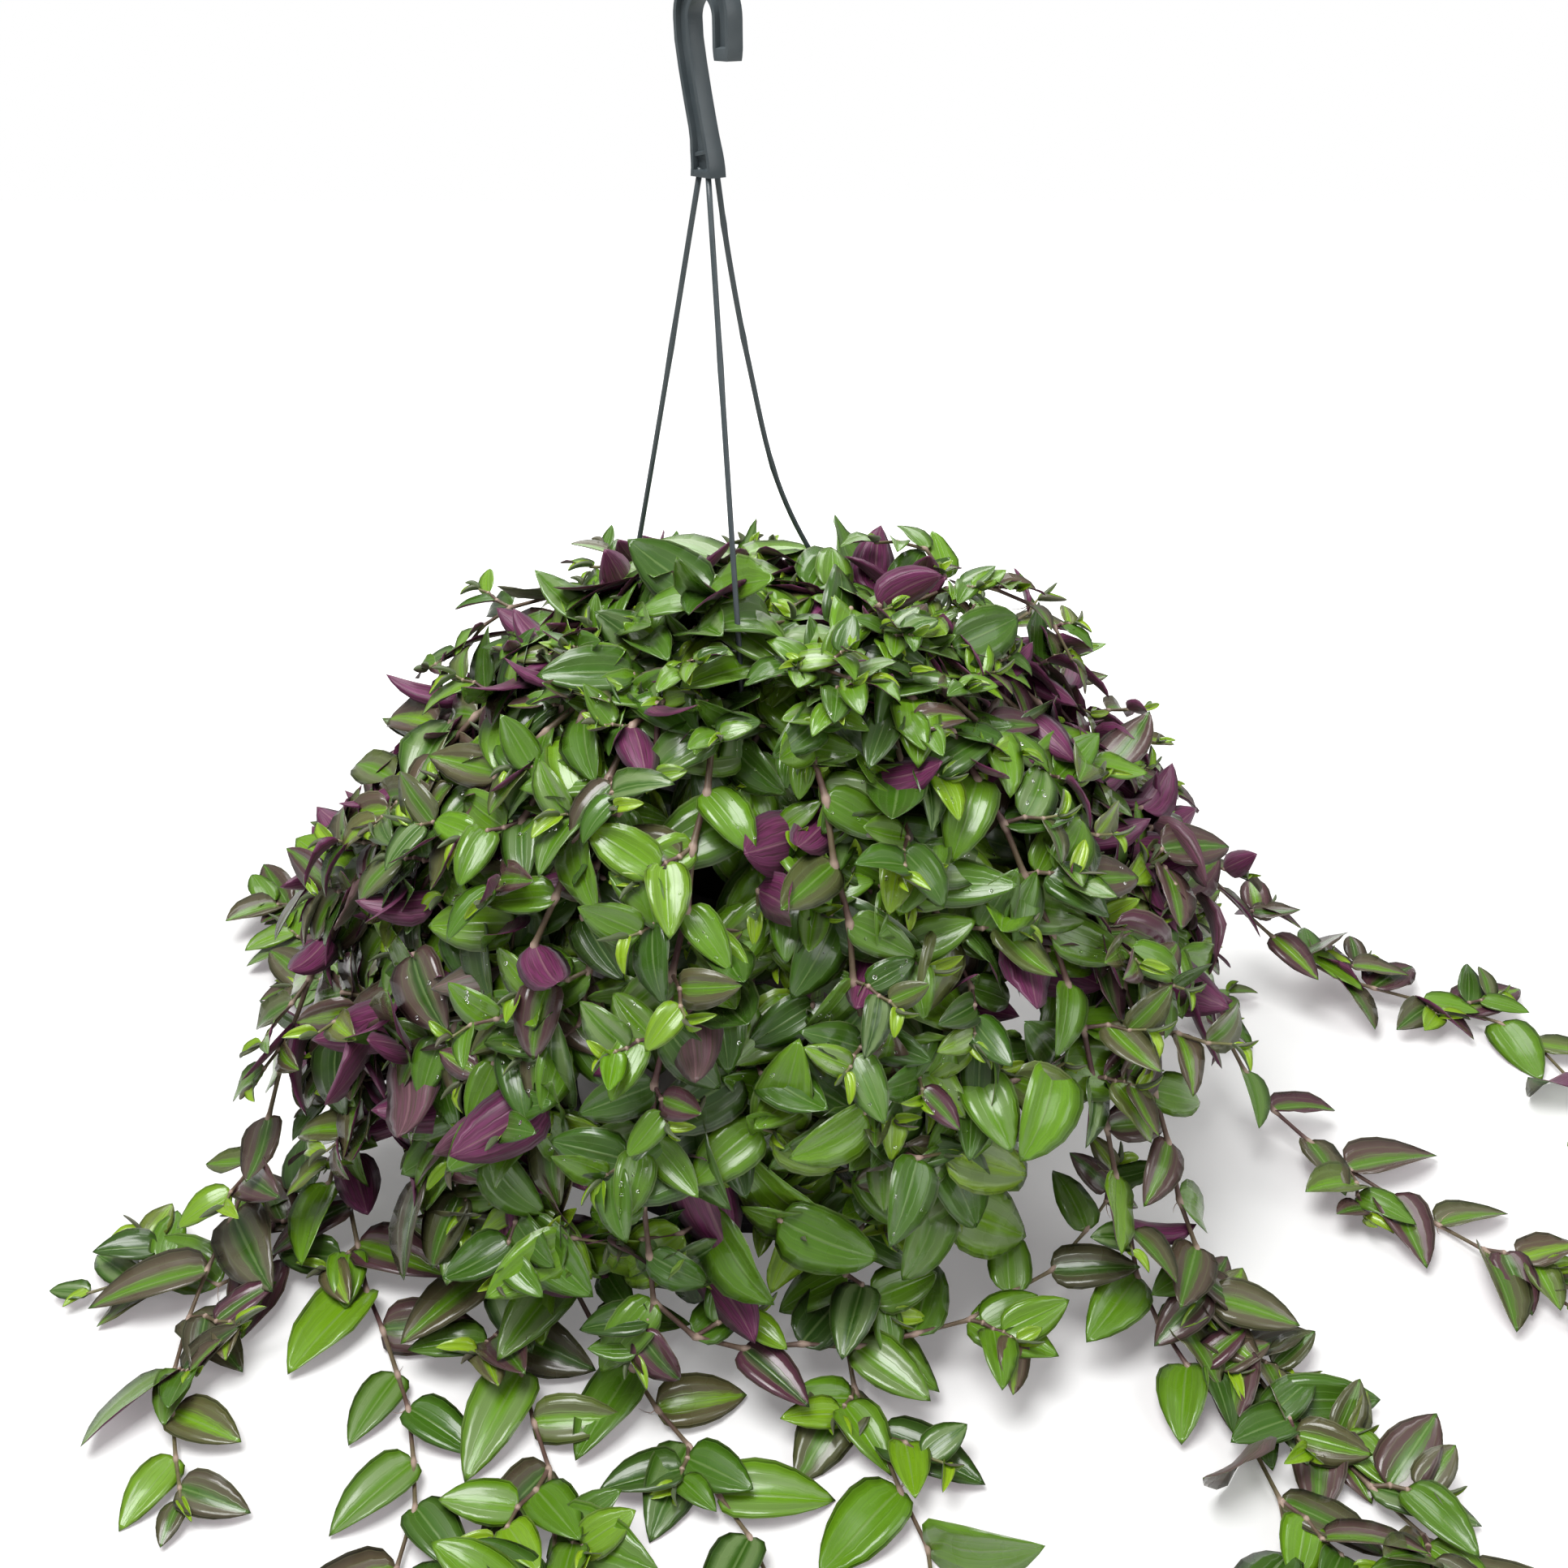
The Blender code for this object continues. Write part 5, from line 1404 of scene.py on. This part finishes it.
@dataclass
class Hanger:
    """The moulded hanger: an I-beam hook on a pocketed foot, three strands and their clips."""

    turn: float = -50.0
    bend_radius: float = 0.0155
    bend_height: float = 0.071
    shift: float = -0.0135
    tip_drop: float = 0.018
    half_width: float = 0.0060
    half_thickness: float = 0.0045
    flange: float = 0.0022
    web: float = 0.0030
    strand_radius: float = 0.00150

    def build(self) -> None:
        """Model the hook, the strands and the clips in one finish."""
        finish = Moulded("hanger_plastic", (0.062, 0.078, 0.086), (0.100, 0.118, 0.126), 0.36, 900.0).make()
        for piece in (self.build_hook(), *self.build_strands(), *self.build_clips()):
            piece.data.materials.append(finish)
            place(piece, "hanger_plastic", "hanger")

    def hook_line(self) -> list:
        """The hook's centre line in its own plane, as (across, up)."""
        line = [(0.0, 0.0), (0.0, 0.0032), (0.0, 0.0036), (-0.0003, 0.0070), (-0.0008, 0.0098),
                (-0.0009, 0.0102), (-0.0012, 0.0118), (-0.0013, 0.0122), (-0.0023, 0.0180), (-0.0037, 0.0240),
                (-0.0070, 0.036), (-0.0105, 0.050), (-0.0130, 0.062)]
        centre = self.shift + self.bend_radius
        for k in range(25):
            angle = math.pi - math.pi * k / 24
            line.append((centre + self.bend_radius * math.cos(angle),
                         self.bend_height + self.bend_radius * math.sin(angle)))
        end = centre + self.bend_radius
        line += [(end, self.bend_height - self.tip_drop * share) for share in (0.3, 0.66, 0.70, 0.9, 1.0)]
        return line

    def build_hook(self) -> bpy.types.Object:
        """The hook, swept along its centre line with a section that changes on the way."""
        turn = math.radians(self.turn)
        plane = Vector((math.cos(turn), math.sin(turn), 0))
        through = Vector((-math.sin(turn), math.cos(turn), 0))
        flat = self.hook_line()
        line = [HOOK_FOOT + plane * u + Vector((0, 0, v)) for u, v in flat]
        last = len(line) - 1
        solid = {0, 1, 5, 6, last - 2, last - 1, last}
        verts, faces = [], []
        for index, centre in enumerate(line):
            tangent = (line[min(index + 1, last)] - line[max(index - 1, 0)]).normalized()
            across = through.cross(tangent).normalized()
            rise = flat[index][1] if index < 12 else 1.0
            foot = max(0.0, 1.0 - rise / 0.019)
            half = self.half_width + 0.0020 * foot ** 0.6
            thick = self.half_thickness + 0.0006 * foot
            if index >= last - 1:
                half -= 0.0005 * (index - last + 2)
            web = thick - (0.0001 if index not in (5, 6) else 0.0012) if index in solid else self.web / 2
            inner = half - self.flange
            section = [(half, -thick), (half, thick), (inner, thick), (inner, web), (-inner, web),
                       (-inner, thick), (-half, thick), (-half, -thick), (-inner, -thick), (-inner, -web),
                       (inner, -web), (inner, -thick)]
            verts += [centre + across * u + through * v for u, v in section]
        for ring in range(last):
            for k in range(12):
                n = (k + 1) % 12
                faces.append((ring * 12 + k, ring * 12 + n, (ring + 1) * 12 + n, (ring + 1) * 12 + k))
        faces += [tuple(range(12))[::-1], tuple(range(last * 12, last * 12 + 12))]
        store = MeshStore(verts, faces, [0] * len(faces), [(0.0, 0.0)] * len(verts))
        hook = store.make("hook_body", [])
        finish_edges(hook, 0.00045, 3, 38)
        return hook

    def build_strands(self) -> list:
        """The three strands, round, with small moulding nibs along them."""
        pieces = []
        for name, route in strand_routes(8).items():
            travelled = 0.0
            verts, faces = [], []
            across = None
            sides = 12
            for index, centre in enumerate(route):
                tangent = (route[min(index + 1, len(route) - 1)] - route[max(index - 1, 0)]).normalized()
                across = tangent.orthogonal() if across is None else across - tangent * across.dot(tangent)
                across.normalize()
                up = tangent.cross(across)
                nib = 1.16 if index % 9 == 5 else 1.0
                for k in range(sides):
                    angle = 2 * math.pi * k / sides
                    verts.append(centre + (across * math.cos(angle) + up * math.sin(angle))
                                 * (self.strand_radius * nib))
                travelled += (route[min(index + 1, len(route) - 1)] - centre).length
            for ring in range(len(route) - 1):
                for k in range(sides):
                    n = (k + 1) % sides
                    faces.append((ring * sides + k, ring * sides + n,
                                  (ring + 1) * sides + n, (ring + 1) * sides + k))
            faces += [tuple(range(sides))[::-1], tuple(range(len(verts) - sides, len(verts)))]
            store = MeshStore(verts, faces, [0] * len(faces), [(0.0, 0.0)] * len(verts))
            pieces.append(store.make(f"strand_{name}", []))
            log.info("strand %s is %.0f mm long", name, travelled * 1000)
        return pieces

    def build_clips(self) -> list:
        """The clips that hold the strands' ends under the pot's rim."""
        lip, gap, half = 0.307, 0.0004, 0.0034
        outline = [(RIM_RADIUS + gap, lip - gap), (WALL_TOP_RADIUS + 0.0012, lip - gap),
                   (WALL_TOP_RADIUS + 0.0012, lip - 0.0032), (RIM_RADIUS + 0.0050, lip - 0.0032),
                   (RIM_RADIUS + 0.0058, lip - 0.0020), (RIM_RADIUS + 0.0058, RIM_TOP + 0.0010),
                   (RIM_RADIUS + gap, RIM_TOP + 0.0010)]
        pieces = []
        count = len(outline)
        for name, degrees in CLIP_AZIMUTHS.items():
            turn = Matrix.Rotation(math.radians(degrees), 3, "Z")
            verts = [turn @ Vector((r, side * half, z)) for side in (-1, 1) for r, z in outline]
            faces = [(k, (k + 1) % count, count + (k + 1) % count, count + k)[::-1] for k in range(count)]
            faces += [tuple(range(count)), tuple(range(count, 2 * count))[::-1]]
            store = MeshStore(verts, faces, [0] * len(faces), [(0.0, 0.0)] * len(verts))
            clip = store.make(f"clip_{name}", [])
            deselect()
            clip.select_set(True)
            bpy.context.view_layer.objects.active = clip
            bpy.ops.object.mode_set(mode="EDIT")
            bpy.ops.mesh.select_all(action="SELECT")
            bpy.ops.mesh.normals_make_consistent(inside=False)
            bpy.ops.object.mode_set(mode="OBJECT")
            finish_edges(clip, 0.0003, 2, 30)
            pieces.append(clip)
        return pieces


# ------------------------------------------------------------------ stage

@dataclass
class Studio:
    """The pale floor, soft lights, white background and camera."""

    camera_place: Vector = field(default_factory=lambda: Vector((0.02, -0.807, 0.69)))
    camera_tilt: float = 61.4
    lens: float = 34.47
    floor_size: float = 9.0

    def build(self) -> None:
        """Set up the whole stage."""
        self.build_floor()
        self.build_world()
        self.add_lamp("key", (-0.4, -0.4, 2.0), 1.1, 36.0)
        self.add_lamp("fill", (1.6, -0.9, 1.3), 1.2, 9.0)
        self.add_lamp("back", (0.1, 1.5, 1.7), 1.2, 14.0)
        self.build_camera()
        bpy.context.scene.view_settings.view_transform = "Standard"

    def build_floor(self) -> None:
        """A plain pale floor that keeps the object's shadow."""
        deselect()
        bpy.ops.mesh.primitive_plane_add(size=self.floor_size, location=(0, 0, 0))
        floor = bpy.context.object
        floor.name = "studio_floor"
        shader = Shader("studio_floor")
        shader.fix(Base_Color=(0.90, 0.90, 0.89, 1.0), Roughness=0.85, Emission_Color=(1.0, 1.0, 0.99, 1.0))
        seen = shader.add("ShaderNodeLightPath").outputs["Is Camera Ray"]
        where = shader.add("ShaderNodeTexCoord").outputs["Object"]
        away = shader.add("ShaderNodeVectorMath", {0: where}, operation="LENGTH").outputs["Value"]
        glow = smooth_range(shader.tree, away, 0.35, 1.2, 0.16, 0.8)
        shader.feed("Emission Strength", math_node(shader.tree, "MULTIPLY", seen, glow))
        floor.data.materials.append(shader.material)

    def build_world(self) -> None:
        """White where it is seen directly or through a clear surface, and a plain soft light elsewhere."""
        world = bpy.data.worlds.new("studio_world")
        bpy.context.scene.world = world
        world.use_nodes = True
        tree = world.node_tree
        light = add_node(tree, "ShaderNodeLightPath")
        seen = math_node(tree, "MAXIMUM", light.outputs["Is Camera Ray"], light.outputs["Is Transmission Ray"])
        strength = math_node(tree, "MAXIMUM", seen, 0.30)
        background = tree.nodes["Background"]
        background.inputs["Color"].default_value = (1.0, 1.0, 1.0, 1.0)
        tree.links.new(strength, background.inputs["Strength"])

    def add_lamp(self, name: str, spot: tuple, size: float, power: float) -> None:
        """Add a square soft lamp that faces the plant."""
        data = bpy.data.lights.new(name, "AREA")
        data.size = size
        data.energy = power
        lamp = bpy.data.objects.new(name, data)
        lamp.location = spot
        lamp.rotation_euler = (Vector((0, 0, 0.2)) - Vector(spot)).to_track_quat("-Z", "Y").to_euler()
        bpy.context.scene.collection.objects.link(lamp)

    def build_camera(self) -> None:
        """The camera, close in front and looking down on the plant."""
        data = bpy.data.cameras.new("camera")
        data.sensor_width = 36.0
        data.lens = self.lens
        camera = bpy.data.objects.new("camera", data)
        camera.location = self.camera_place
        camera.rotation_euler = (math.radians(self.camera_tilt), 0, 0)
        bpy.context.scene.collection.objects.link(camera)
        bpy.context.scene.camera = camera


def main() -> None:
    """Build the holder, the plant and the stage."""
    Studio().build()
    Stand().build()
    HangingPot().build()
    Hanger().build()
    Plant().build()


if __name__ == "__main__":
    main()
